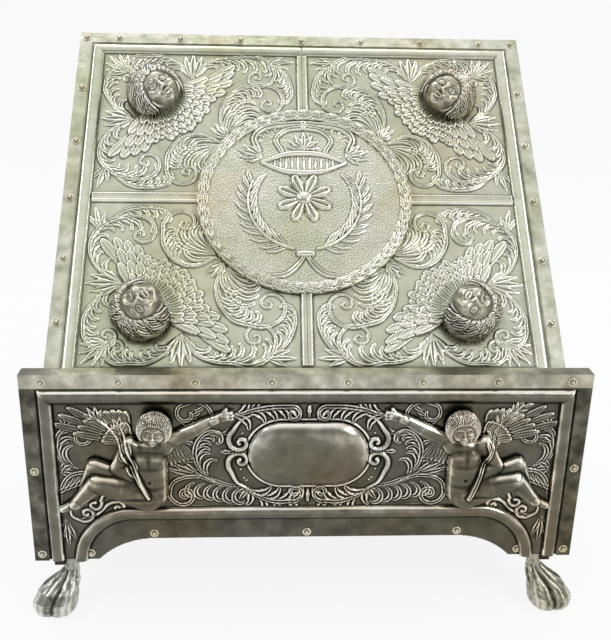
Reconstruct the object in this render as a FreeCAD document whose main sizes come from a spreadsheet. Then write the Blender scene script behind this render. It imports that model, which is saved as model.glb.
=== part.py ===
"""Altar book stand: a wooden desk on four cast feet, covered in embossed silver sheet.

Millimetres, +Z up, -Y to the front. The origin is on the table, midway between the four feet.
"""
import FreeCAD, Part
import math
import os
import Sketcher

V = FreeCAD.Vector
X_AXIS = V(1, 0, 0)
Z_AXIS = V(0, 0, 1)

SIZES = (
    ("front_overhang", 9.2, "front board past the desk board at each side"),
    ("front_height", 126, "front board, leg to top edge"),
    ("front_thick", 8, "front board"),
    ("foot_height", 34, "table to the front board's legs"),
    ("leg_width", 39, "front and back legs, outer edge to arch"),
    ("arch_rise", 15, "height of the arches above the legs"),
    ("arch_run", 35, "width of an arch's curved end"),
    ("lip_height", 22, "front board's top edge above the desk"),
    ("desk_width", 320, "desk board, side to side"),
    ("desk_length", 285, "desk board, along its slope"),
    ("desk_thick", 12, "desk board"),
    ("desk_angle", 45, "slope of the desk in degrees"),
    ("desk_overhang", 7.5, "desk board's top edge past the back board"),
    ("side_thick", 12, "side boards"),
    ("side_leg", 34, "side boards' legs, front to back"),
    ("side_drop", 10, "side boards' legs below the front board's legs"),
    ("back_thick", 12, "back board"),
    ("block_width", 18, "corner blocks, each way"),
    ("block_height", 62, "corner blocks"),
    ("block_bevel", 13, "rise of the corner blocks' slanted lower edge"),
    ("sheet_thick", 0.8, "silver sheet"),
    ("strip_thick", 0.8, "edging strips"),
    ("strip_width", 8, "edging strips on the show faces"),
    ("strip_return", 10, "top front strip's flap on the lip's rear face"),
    ("low_strip_width", 9, "desk strip behind the lip"),
    ("setback", 2.5, "lower edge of the desk sheet from the front board"),
    ("bead_width", 8.4, "half-round beads"),
    ("bead_height", 3.4, "half-round beads"),
    ("bead_inset", 9.2, "board edge to the outer side of a bead"),
    ("desk_bead_low", 18.5, "middle of the desk's lowest bead, up the slope"),
    ("arch_bead_rise", 33.5, "middle of the front's lower bead above the legs"),
    ("arch_bead_reach", 141, "front's lower bead at the legs, from the middle"),
    ("side_bead_inset", 16, "side beads, from the sheet's edges"),
    ("band_width", 8, "desk cross bands"),
    ("band_height", 1.2, "desk cross bands"),
    ("band_gap", 1.5, "cross bands to the medallion and the frame bead"),
    ("medal_radius", 71, "medallion plate"),
    ("medal_thick", 1.2, "medallion plate"),
    ("wreath_width", 7.5, "medallion wreath"),
    ("wreath_height", 4.2, "medallion wreath"),
    ("wreath_overhang", 1, "wreath past the medallion plate"),
    ("petal_radius", 6.4, "rosette's petals"),
    ("palm_radius", 38, "palm branches round the rosette"),
    ("palm_leaf", 14, "palm leaflets"),
    ("palm_thick", 1.7, "palm leaflets"),
    ("crown_width", 54, "crown's band"),
    ("crown_level", 25, "medallion's middle to the crown's band"),
    ("crown_tall", 36, "crown above its band's ends"),
    ("cherub_inset_across", 39.5, "cherub's middle from the frame bead, across"),
    ("cherub_inset_along", 38, "cherub's middle from the frame bead, up the slope"),
    ("cherub_width", 35, "cherub's skull"),
    ("wing_thick", 2, "cherubs' wings"),
    ("wing_root", 15, "start of the feathers from the cherub's middle"),
    ("wing_long", 62, "tip of a wing's leading feather from the cherub's middle"),
    ("wing_short", 44, "tips of a wing's shortest feathers from the cherub's middle"),
    ("wing_part", 11, "innermost feather from the line below the chin, in degrees"),
    ("wing_sweep", 63, "leading feather from the innermost one, in degrees"),
    ("feather_width", 9.5, "feathers"),
    ("boss_width", 74, "oval boss"),
    ("boss_height", 7, "oval boss"),
    ("boss_round", 5.5, "edge radius of the oval boss"),
    ("boss_high_margin", 12.1, "top bead to the oval boss"),
    ("boss_low_margin", 15.8, "arch bead to the oval boss"),
    ("scroll_bar", 5, "cartouche scrolls"),
    ("scroll_gap", 0.6, "cartouche scrolls to the oval boss"),
    ("putto_offset", 95, "seated putto's hip from the middle"),
    ("putto_low_margin", 11.3, "arch bead to a putto's hip"),
    ("putto_high_margin", 10.9, "top bead to the middle of a putto's head"),
    ("foot_inset", 12, "desk board's side edge to the middle of a foot"),
    ("toe_reach", 19.5, "middle of a foot to the middle of a toe's tip"),
    ("toe_radius", 6.5, "toe tips"),
    ("heel_radius", 10.5, "ball of a foot"),
    ("neck_radius", 3.4, "top of a foot's neck"),
    ("flange_width", 13, "plate on a foot's neck"),
    ("flange_margin", 0.6, "foot's plate in from the front board's faces"),
    ("flange_thick", 3, "plate on a foot's neck"),
    ("tang_width", 4, "foot's peg"),
    ("tang_length", 14, "foot's peg"),
    ("peg_room", 0.1, "play round a foot's peg"),
    ("nail_head", 5, "nail heads"),
    ("nail_dome", 1.5, "nail heads, height"),
    ("nail_shank", 1.4, "square nail shanks"),
    ("nail_length", 8, "nails below the head"),
    ("nail_room", 0.1, "play round a nail's shank"),
    ("nail_pitch", 47, "distance between nails, about"),
)

doc = FreeCAD.newDocument("altar_book_stand")
dims = doc.addObject("Spreadsheet::Sheet", "dims")
for row, (alias, value, meaning) in enumerate(SIZES, start=1):
    dims.set(f"A{row}", alias)
    dims.set(f"B{row}", str(value))
    dims.set(f"C{row}", meaning)
    dims.setAlias(f"B{row}", alias)
doc.recompute()

nodes = []


def num(expression):
    """Value of an expression of the sheet's cells."""
    return float(dims.evalExpression(str(expression)))


# Places that several pieces share, as expressions of the sheet's cells.
TAN = "tan(dims.desk_angle * 1 deg)"
COS = "cos(dims.desk_angle * 1 deg)"
CARCASS = f"(dims.desk_length * {COS} - dims.desk_overhang)"
FRONT_Y = f"-(dims.front_thick * 1.5 + {CARCASS} - dims.back_thick / 2) / 2"
INNER_Y = f"({FRONT_Y} + dims.front_thick)"
BACK_Y = f"({INNER_Y} + {CARCASS})"
DESK_Z = "(dims.foot_height + dims.front_height - dims.lip_height)"
SIDE_Z = "(dims.foot_height - dims.side_drop)"
HALF_DESK = "(dims.desk_width / 2)"
HALF_FRONT = f"({HALF_DESK} + dims.front_overhang)"
ARCH_RADIUS = "((dims.arch_run ^ 2 + dims.arch_rise ^ 2) / (2 * dims.arch_rise))"
BEAD_RADIUS = "((dims.bead_width ^ 2 / 4 + dims.bead_height ^ 2) / (2 * dims.bead_height))"
BEAD_MIDDLE = "(dims.bead_inset + dims.bead_width / 2)"
FIELD_EDGE = f"({HALF_DESK} - dims.bead_inset - dims.bead_width)"
FIELD_TOP = "(dims.desk_length - dims.bead_inset - dims.bead_width)"
FIELD_LOW = "(dims.desk_bead_low + dims.bead_width / 2)"
MEDAL_S = f"(({FIELD_TOP} + {FIELD_LOW}) / 2)"
STACK = "(dims.sheet_thick + dims.strip_thick)"
FRONT_HIGH = "(dims.front_height - dims.bead_inset - dims.bead_width)"
FRONT_LOW = "(dims.arch_bead_rise + dims.bead_width / 2)"
BOSS_LOW = f"({FRONT_LOW} + dims.boss_low_margin)"
BOSS_HIGH = f"({FRONT_HIGH} - dims.boss_high_margin)"
BOSS_TALL = f"({BOSS_HIGH} - {BOSS_LOW})"
BOSS_Y = f"(({BOSS_HIGH} + {BOSS_LOW}) / 2)"
HIP_Y = f"({FRONT_LOW} + dims.putto_low_margin)"
PUTTO_TALL = f"({FRONT_HIGH} - dims.putto_high_margin - {HIP_Y})"
FOOT_X = f"({HALF_DESK} - dims.foot_inset)"
FRONT_FOOT_Y = f"({FRONT_Y} + dims.front_thick / 2)"
BACK_FOOT_Y = f"({BACK_Y} - dims.back_thick / 2)"

SLOPE = FreeCAD.Rotation(X_AXIS, num("dims.desk_angle"))
UPRIGHT = FreeCAD.Rotation(X_AXIS, 90)
desk_frame = FreeCAD.Placement(V(0, num(INNER_Y), num(DESK_Z)), SLOPE)
front_frame = FreeCAD.Placement(V(0, num(FRONT_Y), num("dims.foot_height")), UPRIGHT)


# Sketches and features

def plane(body, role):
    """Origin plane of a body by its role."""
    return next(item for item in body.Origin.OriginFeatures if item.Role == role)


def edge_shape(start, end, arc):
    """Line, or arc of a given radius whose centre is on the left (1) or right (-1) of its chord."""
    if arc is None:
        return Part.LineSegment(start, end)
    radius, side = num(arc[0]), arc[1]
    chord = end - start
    left = V(-chord.y, chord.x, 0).normalize()
    rise = math.sqrt(max(radius ** 2 - chord.Length ** 2 / 4, 0))
    centre = (start + end) * 0.5 + left * (side * rise)
    first, last = (start, end) if side > 0 else (end, start)
    angles = [math.atan2(point.y - centre.y, point.x - centre.x) for point in (first, last)]
    return Part.ArcOfCircle(Part.Circle(centre, Z_AXIS, radius), *angles)


def draw(body, name, role, points, arcs=None, level="0", closed=True):
    """Sketch through points, each a pair of expressions; arcs maps an edge's number to (radius, side)."""
    arcs = arcs or {}
    sketch = body.newObject("Sketcher::SketchObject", name)
    sketch.AttachmentSupport = [(plane(body, role), "")]
    sketch.MapMode = "FlatFace"
    sketch.setExpression("AttachmentOffset.Base.z", level)
    corners = [V(num(x), num(y), 0) for x, y in points]
    edges = len(points) if closed else len(points) - 1
    starts = {}
    ends = {}
    for i in range(edges):
        arc = arcs.get(i)
        sketch.addGeometry(edge_shape(corners[i], corners[(i + 1) % len(points)], arc))
        forward = arc is None or arc[1] > 0
        starts[i] = 1 if forward else 2
        ends[i] = 2 if forward else 1
    for i in range(edges if closed else edges - 1):
        following = (i + 1) % edges
        sketch.addConstraint(Sketcher.Constraint("Coincident", i, ends[i], following, starts[following]))
    for i, (x, y) in enumerate(points):
        edge, end = (i, starts[i]) if i < edges else (edges - 1, ends[edges - 1])
        fix(sketch, "DistanceX", -2, edge, end, f"x{i}", x)
        fix(sketch, "DistanceY", -1, edge, end, f"y{i}", y)
    for i, (radius, _) in arcs.items():
        index = sketch.addConstraint(Sketcher.Constraint("Radius", i, num(radius)))
        sketch.renameConstraint(index, f"r{i}")
        sketch.setExpression(f"Constraints.r{i}", radius)
    return sketch


def fix(sketch, kind, axis, edge, end, name, expression):
    """Hold one coordinate of a point, on the axis itself where it is nought."""
    if expression == "0":
        sketch.addConstraint(Sketcher.Constraint("PointOnObject", edge, end, axis))
        return
    index = sketch.addConstraint(Sketcher.Constraint(kind, -1, 1, edge, end, num(expression)))
    sketch.renameConstraint(index, name)
    sketch.setExpression(f"Constraints.{name}", expression)


def rectangle(left, right, low, high):
    """Corner points of a rectangle."""
    return [(left, low), (right, low), (right, high), (left, high)]


def new_body(label, frame=None):
    """Body in its own frame: the desk's, the front's or the stand's."""
    body = doc.addObject("PartDesign::Body", label)
    body.Label = label
    if frame == "desk":
        body.Placement = FreeCAD.Placement(V(), SLOPE)
        body.setExpression("Placement.Base.y", INNER_Y)
        body.setExpression("Placement.Base.z", DESK_Z)
        body.setExpression("Placement.Rotation.Angle", "dims.desk_angle * 1 deg")
    if frame == "front":
        body.Placement = FreeCAD.Placement(V(), UPRIGHT)
        body.setExpression("Placement.Base.y", FRONT_Y)
        body.setExpression("Placement.Base.z", "dims.foot_height")
    return body


def pad(body, sketch, length, backwards=False, both_ways=False):
    """Extrude a sketch along its plane's normal."""
    feature = body.newObject("PartDesign::Pad", f"{sketch.Name}_pad")
    feature.Profile = sketch
    feature.setExpression("Length", length)
    feature.Reversed = backwards
    feature.Midplane = both_ways
    doc.recompute()
    return feature


def pocket(body, sketch, length, backwards=False):
    """Cut a sketch into a body, and make sure that it cut something."""
    before = body.Shape.Volume
    feature = body.newObject("PartDesign::Pocket", f"{sketch.Name}_cut")
    feature.Profile = sketch
    feature.setExpression("Length", length)
    feature.Reversed = backwards
    doc.recompute()
    if body.Shape.Volume >= before:
        raise ValueError(f"{sketch.Name} cuts nothing from {body.Label}")
    return feature


def bead(body, name, path, role, ends, level, bulge=1):
    """Half-round bead along a path that starts square to its section's plane, between two ends."""
    profile = draw(body, f"{name}_section", role, ends, {1: (BEAD_RADIUS, bulge)}, level=level)
    doc.recompute()
    feature = body.newObject("PartDesign::AdditivePipe", name)
    feature.Profile = profile
    feature.Spine = (path, [f"Edge{i + 1}" for i in range(len(path.Geometry))])
    feature.Transition = "Right corner"
    doc.recompute()
    return feature


def across(middle, level):
    """Two ends of a bead's section about a middle, at a level."""
    half = "dims.bead_width / 2"
    return [(f"{middle} - {half}", level), (f"{middle} + {half}", level)]


def finished(piece, label):
    """Take a document object as a finished sub-part."""
    piece.Label = label
    nodes.append(piece)
    return piece


def drilled(label, blank, holes):
    """Finished sub-part: a blank with nail holes."""
    blank.Label = f"{label}_blank"
    cut = doc.addObject("Part::Cut", label)
    cut.Base = blank
    cut.Tool = holes
    return finished(cut, label)


def shaped(label, shape, frame):
    """Finished sub-part that is a free form, in the desk's or the front's frame."""
    feature = doc.addObject("Part::Feature", label)
    feature.Shape = shape
    feature.Placement = frame
    return finished(feature, label)


# Nails

def nail_rows(low, high):
    """Evenly spaced places from low to high, about a nail pitch apart."""
    count = max(round((high - low) / num("dims.nail_pitch")), 1)
    return [low + (high - low) * i / count for i in range(count + 1)]


def desk_nail_places():
    """(across, up the slope, seat) of each desk nail, on the edging strips."""
    seat = num(STACK)
    middle = num("dims.strip_width / 2")
    side = num(HALF_DESK) - middle
    high = num("dims.desk_length") - middle
    low = num("dims.setback + dims.low_strip_width / 2")
    places = [(sign * side, along, seat) for sign in (-1, 1) for along in nail_rows(low, high)]
    across = side - num("dims.nail_pitch") / 2
    places += [(x, high, seat) for x in nail_rows(-across, across)]
    places += [(x, low, seat) for x in nail_rows(-across, across)[1:-1:2]]
    return places


def front_nail_places():
    """(across, up from the legs, seat) of each front nail: on the strips, and along the arch on the sheet."""
    seat = num(STACK)
    sheet = num("dims.sheet_thick")
    middle = num("dims.strip_width / 2")
    high = num("dims.front_height") - middle
    side = num(HALF_FRONT) - middle
    low = num("dims.nail_head")
    arch_end = num(f"{HALF_FRONT} - dims.leg_width - dims.arch_run")
    places = [(x, high, seat) for x in nail_rows(-side + 2 * middle, side - 2 * middle)]
    places += [(sign * side, y, seat) for sign in (-1, 1) for y in nail_rows(low, high)[:-1]]
    places += [(x, num("dims.arch_rise") + middle, sheet) for x in (-arch_end, 0, arch_end)]
    leg = num(f"{HALF_FRONT} - dims.leg_width") + low
    places += [(sign * leg, low, sheet) for sign in (-1, 1)]
    return places


def side_nail_places():
    """(from the front board, up from the side legs, seat) of each nail of one side sheet."""
    seat = num("dims.sheet_thick")
    edge = num("dims.side_bead_inset / 2")
    rear = num(CARCASS) - edge
    rows = [nail_rows(edge, num(f"{DESK_Z} - {SIDE_Z} - dims.desk_thick / {COS}") - edge)]
    rows.append(nail_rows(edge, num(f"{DESK_Z} - {SIDE_Z}") + rear * num(TAN) - 4 * edge))
    return [(y, z, seat) for y, row in zip((edge, rear), rows) for z in row[::2]]


def nail(place):
    """Domed head on its seat with a square shank below it."""
    x, y, seat = place
    radius = num("dims.nail_head / 2")
    dome = num("dims.nail_dome")
    ball = (radius ** 2 + dome ** 2) / (2 * dome)
    lowest = math.degrees(math.asin((ball - dome) / ball))
    head = Part.makeSphere(ball, V(x, y, seat - ball + dome), Z_AXIS, lowest, 90)
    return head.fuse(square_pin(place, num("dims.nail_shank"), num("dims.nail_length")))


def square_pin(place, width, length):
    """Square pin below a nail's seat."""
    x, y, seat = place
    return Part.makeBox(width, width, length, V(x - width / 2, y - width / 2, seat - length))


def nail_group(label, places, frame):
    """One node of nails, and the holes that they go through."""
    shaped(label, Part.makeCompound([nail(place) for place in places]), frame)
    width = num("dims.nail_shank + 2 * dims.nail_room")
    length = num("dims.nail_length + dims.nail_room")
    holes = doc.addObject("Part::Feature", f"{label}_holes")
    holes.Shape = Part.makeCompound([square_pin(place, width, length) for place in places])
    holes.Placement = frame
    return holes


# Wood

def front_outline():
    """Points and arcs of the front board: two legs and a low arch between them."""
    half = HALF_FRONT
    leg = f"({HALF_FRONT} - dims.leg_width)"
    crown = f"({leg} - dims.arch_run)"
    points = [(f"-{half}", "0"), (f"-{leg}", "0"), (f"-{crown}", "dims.arch_rise"), (crown, "dims.arch_rise")]
    points += [(leg, "0"), (half, "0"), (half, "dims.front_height"), (f"-{half}", "dims.front_height")]
    return points, {1: (ARCH_RADIUS, -1), 3: (ARCH_RADIUS, -1)}


def peg_holes(body, role, level, middle, backwards=False):
    """Square holes for two feet's pegs, on a plane at the legs' undersides; middle is across the leg."""
    half = "(dims.tang_width / 2 + dims.peg_room)"
    for side, sign in (("left", "-"), ("right", "")):
        ends = [f"{sign}{FOOT_X} - {half}", f"{sign}{FOOT_X} + {half}"]
        points = rectangle(*ends, f"{middle} - {half}", f"{middle} + {half}")
        sketch = draw(body, f"{body.Name}_{side}_peg", role, points, level=level)
        pocket(body, sketch, "dims.tang_length + dims.peg_room", backwards)


def front_board(holes):
    """Arched front board, whose top edge is the lip that stops the book."""
    body = new_body("front_board_body", "front")
    points, arcs = front_outline()
    pad(body, draw(body, "front_board_outline", "XY_Plane", points, arcs), "dims.front_thick", backwards=True)
    peg_holes(body, "XZ_Plane", "0", "-dims.front_thick / 2")
    drilled("front_board", body, holes)


def desk_board(holes):
    """Sloping desk board, its lower end cut upright to meet the front board."""
    body = new_body("desk_board_body", "desk")
    foot = f"-dims.desk_thick * {TAN}"
    points = [("0", "0"), ("dims.desk_length", "0")]
    points += [("dims.desk_length", "-dims.desk_thick"), (foot, "-dims.desk_thick")]
    pad(body, draw(body, "desk_board_outline", "YZ_Plane", points), "dims.desk_width", both_ways=True)
    drilled("desk_board", body, holes)


def side_outline(rear):
    """Points and arcs of a side: legs, a low arch and a top edge under the desk board, to its rear edge."""
    front = INNER_Y
    rear_leg = f"({BACK_Y} - dims.side_leg)"
    slope = f"{DESK_Z} - dims.desk_thick / {COS}"
    crown = f"{SIDE_Z} + dims.arch_rise"
    points = [(front, SIDE_Z), (f"{front} + dims.side_leg", SIDE_Z)]
    points += [(f"{front} + dims.side_leg + dims.arch_run", crown), (f"{rear_leg} - dims.arch_run", crown)]
    points += [(rear_leg, SIDE_Z), (rear, SIDE_Z)]
    points += [(rear, f"{slope} + ({rear} - {front}) * {TAN}"), (front, slope)]
    return points, {1: (ARCH_RADIUS, -1), 3: (ARCH_RADIUS, -1)}


def side_board(side, sign, holes):
    """Arched side board between the front and back boards."""
    label = f"{side}_side_board"
    body = new_body(f"{label}_body")
    points, arcs = side_outline(f"({BACK_Y} - dims.back_thick)")
    level = f"{sign} * {HALF_DESK}"
    sketch = draw(body, f"{label}_outline", "YZ_Plane", points, arcs, level=level)
    pad(body, sketch, "dims.side_thick", backwards=sign > 0)
    drilled(label, body, holes)


def back_board():
    """Arched back board, its top bevelled to the desk's slope."""
    body = new_body("back_board_body")
    near = f"({BACK_Y} - dims.back_thick)"
    slope = f"{DESK_Z} - dims.desk_thick / {COS} - {INNER_Y} * {TAN}"
    points = [(near, "dims.foot_height"), (BACK_Y, "dims.foot_height")]
    points += [(BACK_Y, f"{slope} + {BACK_Y} * {TAN}"), (near, f"{slope} + {near} * {TAN}")]
    pad(body, draw(body, "back_board_outline", "YZ_Plane", points), "dims.desk_width", both_ways=True)
    leg = f"({HALF_DESK} - dims.leg_width)"
    crown = f"({leg} - dims.arch_run)"
    high = "dims.foot_height + dims.arch_rise"
    arch = [(f"-{leg}", "dims.foot_height"), (leg, "dims.foot_height"), (crown, high), (f"-{crown}", high)]
    arcs = {1: (ARCH_RADIUS, 1), 3: (ARCH_RADIUS, 1)}
    sketch = draw(body, "back_board_arch", "XZ_Plane", arch, arcs, level=f"-{BACK_Y}")
    pocket(body, sketch, "dims.back_thick", backwards=True)
    peg_holes(body, "XY_Plane", "dims.foot_height", BACK_FOOT_Y, backwards=True)
    finished(body, "back_board")


def corner_block(end, side, sign):
    """Glue block inside a corner, its lower edge slanted away from the leg."""
    label = f"{end}_{side}_corner_block"
    body = new_body(f"{label}_body")
    outer = f"{sign} * ({HALF_DESK} - dims.side_thick)"
    inner = f"{sign} * ({HALF_DESK} - dims.side_thick - dims.block_width)"
    top = f"{SIDE_Z} + dims.block_height"
    points = [(outer, SIDE_Z), (inner, f"{SIDE_Z} + dims.block_bevel"), (inner, top), (outer, top)]
    near = INNER_Y if end == "front" else f"({BACK_Y} - dims.back_thick - dims.block_width)"
    sketch = draw(body, f"{label}_outline", "XZ_Plane", points, level=f"-{near}")
    pad(body, sketch, "dims.block_width", backwards=True)
    finished(body, label)


# Silver sheets and edging strips

def desk_sheet(holes):
    """Sheet on the desk with its frame bead and the cross bands that run up to the medallion."""
    body = new_body("desk_sheet_body", "desk")
    points = rectangle(f"-{HALF_DESK}", HALF_DESK, "dims.setback", "dims.desk_length")
    pad(body, draw(body, "desk_sheet_outline", "XY_Plane", points), "dims.sheet_thick")
    edge = f"({HALF_DESK} - {BEAD_MIDDLE})"
    high = f"(dims.desk_length - {BEAD_MIDDLE})"
    low = "dims.desk_bead_low"
    loop = [(f"-{edge}", MEDAL_S), (f"-{edge}", high), (edge, high), (edge, low), (f"-{edge}", low)]
    path = draw(body, "desk_bead_path", "XY_Plane", loop, level="dims.sheet_thick")
    bead(body, "desk_bead", path, "XZ_Plane", across(f"-{edge}", "dims.sheet_thick"), f"-{MEDAL_S}")
    half = "dims.band_width / 2"
    ring = "(dims.medal_radius + dims.wreath_overhang + dims.band_gap)"
    middle = (f"{MEDAL_S} - {half}", f"{MEDAL_S} + {half}")
    bands = {"top": (f"-{half}", half, f"{MEDAL_S} + {ring}", f"{FIELD_TOP} - dims.band_gap")}
    bands["low"] = (f"-{half}", half, f"{FIELD_LOW} + dims.band_gap", f"{MEDAL_S} - {ring}")
    bands["left"] = (f"-{FIELD_EDGE} + dims.band_gap", f"-{ring}", *middle)
    bands["right"] = (ring, f"{FIELD_EDGE} - dims.band_gap", *middle)
    for name, sides in bands.items():
        sketch = draw(body, f"desk_band_{name}", "XY_Plane", rectangle(*sides), level="dims.sheet_thick")
        pad(body, sketch, "dims.band_height")
    drilled("desk_sheet", body, holes)


def front_sheet(holes):
    """Sheet on the front board: a bead round three sides and one that follows the arch."""
    body = new_body("front_sheet_body", "front")
    points, arcs = front_outline()
    pad(body, draw(body, "front_sheet_outline", "XY_Plane", points, arcs), "dims.sheet_thick")
    edge = f"({HALF_FRONT} - {BEAD_MIDDLE})"
    high = f"(dims.front_height - {BEAD_MIDDLE})"
    outer = [(f"-{edge}", "0"), (f"-{edge}", high), (edge, high), (edge, "0")]
    path = draw(body, "front_bead_path", "XY_Plane", outer, level="dims.sheet_thick", closed=False)
    bead(body, "front_bead", path, "XZ_Plane", across(f"-{edge}", "dims.sheet_thick"), "0")
    reach = "dims.arch_bead_reach"
    bend = "(dims.arch_bead_reach - dims.arch_bead_rise)"
    rise = "dims.arch_bead_rise"
    arch = [(f"-{reach}", "0"), (f"-{bend}", rise), (bend, rise), (reach, "0")]
    arcs = {0: (rise, -1), 2: (rise, -1)}
    path = draw(body, "arch_bead_path", "XY_Plane", arch, arcs, level="dims.sheet_thick", closed=False)
    bead(body, "arch_bead", path, "XZ_Plane", across(f"-{reach}", "dims.sheet_thick"), "0")
    drilled("front_sheet", body, holes)


def side_sheet(side, sign, holes):
    """Sheet on a side, with a bead inside its front, top and rear edges."""
    label = f"{side}_side_sheet"
    body = new_body(f"{label}_body")
    points, arcs = side_outline(BACK_Y)
    level = f"{sign} * {HALF_DESK}"
    sketch = draw(body, f"{label}_outline", "YZ_Plane", points, arcs, level=level)
    pad(body, sketch, "dims.sheet_thick", backwards=sign < 0)
    face = f"{sign} * ({HALF_DESK} + dims.sheet_thick)"
    inset = "dims.side_bead_inset"
    slope = f"{DESK_Z} - dims.desk_thick / {COS} - {inset} / {COS}"
    near = f"({INNER_Y} + {inset})"
    far = f"({BACK_Y} - {inset})"
    rise = f"- {INNER_Y}) * {TAN}"
    start = f"{SIDE_Z} + {inset}"
    trace = [(near, start), (near, f"{slope} + ({near} {rise}")]
    trace += [(far, f"{slope} + ({far} {rise}"), (far, start)]
    path = draw(body, f"{label}_path", "YZ_Plane", trace, level=face, closed=False)
    ends = [(height, along) for along, height in across(near, face)]
    bead(body, f"{label}_bead", path, "XY_Plane", ends, start, bulge=-sign)
    drilled(label, body, holes)


def desk_side_strip(side, sign, holes):
    """Angle strip over a side edge of the desk, short of the top strip."""
    label = f"desk_strip_{side}"
    body = new_body(f"{label}_body", "desk")
    points = angle_section(f"{sign} * {HALF_DESK}", sign, "-dims.desk_thick")
    sketch = draw(body, f"{label}_section", "XZ_Plane", points, level="-dims.setback")
    pad(body, sketch, "dims.desk_length - dims.strip_width - dims.setback", backwards=True)
    drilled(label, body, holes)


def front_side_strip(side, sign, holes):
    """Angle strip over a side edge of the front board, short of the top strip."""
    label = f"front_strip_{side}"
    body = new_body(f"{label}_body", "front")
    points = angle_section(f"{sign} * {HALF_FRONT}", sign, "-dims.front_thick")
    sketch = draw(body, f"{label}_section", "XZ_Plane", points)
    pad(body, sketch, "dims.front_height - dims.strip_width", backwards=True)
    drilled(label, body, holes)


def angle_section(edge, sign, depth):
    """Section of an angle strip: a flange on the sheet and a web down the board's edge."""
    outer = f"{edge} + {sign} * dims.strip_thick"
    inner = f"{edge} - {sign} * dims.strip_width"
    sheet = "dims.sheet_thick"
    return [(inner, sheet), (edge, sheet), (edge, depth), (outer, depth), (outer, STACK), (inner, STACK)]


def top_strip(label, frame, high, half, depth, flap, holes):
    """Angle strip along a top edge, with ears folded over its two ends; a flap may hang down behind."""
    body = new_body(f"{label}_body", frame)
    top = f"({high} + dims.strip_thick)"
    low = f"({high} - dims.strip_width)"
    points = [(low, "dims.sheet_thick"), (high, "dims.sheet_thick"), (high, f"-{depth}")]
    back = f"-{depth} - dims.strip_thick" if flap else f"-{depth}"
    if flap:
        points += [(f"{high} - {flap}", f"-{depth}"), (f"{high} - {flap}", back)]
    points += [(top, back), (top, STACK), (low, STACK)]
    pad(body, draw(body, f"{label}_section", "YZ_Plane", points), f"2 * {half}", both_ways=True)
    ear = rectangle(low, top, back, STACK)
    for side, sign in (("left", -1), ("right", 1)):
        sketch = draw(body, f"{label}_{side}_ear", "YZ_Plane", ear, level=f"{sign} * {half}")
        pad(body, sketch, "dims.strip_thick", backwards=sign < 0)
    drilled(label, body, holes)


def low_strip(holes):
    """Flat strip on the desk behind the lip."""
    body = new_body("desk_strip_low_body", "desk")
    half = f"({HALF_DESK} - dims.strip_width)"
    points = rectangle(f"-{half}", half, "dims.setback", "dims.setback + dims.low_strip_width")
    sketch = draw(body, "desk_strip_low_outline", "XY_Plane", points, level="dims.sheet_thick")
    pad(body, sketch, "dims.strip_thick")
    drilled("desk_strip_low", body, holes)


# Medallion

def on_desk(level):
    """Desk frame moved to the medallion's middle, at a level above the board."""
    return desk_frame.multiply(FreeCAD.Placement(V(0, num(MEDAL_S), num(level)), FreeCAD.Rotation()))


def turned(label, points, arcs=None):
    """Ring or disc about the medallion's axis, from its half section."""
    body = new_body(f"{label}_body", "desk")
    sketch = draw(body, f"{label}_section", "XZ_Plane", points, arcs, level=f"-{MEDAL_S}")
    feature = body.newObject("PartDesign::Revolution", f"{label}_turn")
    feature.Profile = sketch
    feature.ReferenceAxis = (sketch, ["V_Axis"])
    doc.recompute()
    return finished(body, label)


def medallion():
    """Round plate on the desk sheet and the wreath that rims it."""
    top = "(dims.sheet_thick + dims.medal_thick)"
    turned("medallion_plate", rectangle("0", "dims.medal_radius", "dims.sheet_thick", top))
    outer = "(dims.medal_radius + dims.wreath_overhang)"
    inner = f"({outer} - dims.wreath_width)"
    radius = "((dims.wreath_width ^ 2 / 4 + dims.wreath_height ^ 2) / (2 * dims.wreath_height))"
    turned("medallion_wreath", [(inner, top), (outer, top)], {1: (radius, 1)})
    frame = on_desk(top)
    shaped("medallion_rosette", rosette(), frame)
    shaped("medallion_palms", palms(), frame)
    shaped("medallion_palm_tie", palm_tie(), frame)
    shaped("medallion_crown", crown(), frame)


def dome(radius, x, y, height):
    """Low round boss: the part of a ball above the plane."""
    ball = (radius ** 2 + height ** 2) / (2 * height)
    lowest = math.degrees(math.asin((ball - height) / ball))
    return Part.makeSphere(ball, V(x, y, height - ball), Z_AXIS, lowest, 90)


def above_plane(shape):
    """Part of a shape above its frame's plane."""
    middle = shape.BoundBox.Center
    size = 4 * shape.BoundBox.DiagonalLength
    corner = V(middle.x - size / 2, middle.y - size / 2, -size)
    return shape.cut(Part.makeBox(size, size, size, corner))


def rosette():
    """Flower of eight petals round a button."""
    petals = 8
    petal = num("dims.petal_radius")
    ring, button, rise = petal * 1.75, petal * 1.3, petal / 2
    turns = [2 * math.pi * i / petals for i in range(petals)]
    flower = [dome(petal, ring * math.cos(turn), ring * math.sin(turn), rise) for turn in turns]
    return dome(button, 0, 0, petal).fuse(flower).removeSplitter()


def arc_bar(centre, radius, bar, start, sweep):
    """Half-round bar along an arc in the plane; angles in degrees."""
    ring = Part.makeTorus(radius, bar, V(), Z_AXIS, -90, 270, sweep)
    ring.rotate(V(), Z_AXIS, start)
    ring.translate(centre)
    return ring


def leaf_face(base, tip, width):
    """Leaf outline: an ellipse between two points."""
    middle = (base + tip) * 0.5
    along = tip - base
    across = V(-along.y, along.x, 0).normalize() * (width / 2)
    return Part.Face(Part.Wire([Part.Ellipse(tip, middle + across, middle).toShape()]))


def joined_leaves(faces, thick):
    """One plate of overlapping leaves."""
    plates = [face.extrude(V(0, 0, thick)) for face in faces]
    return plates[0].fuse(plates[1:]).removeSplitter()


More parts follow.
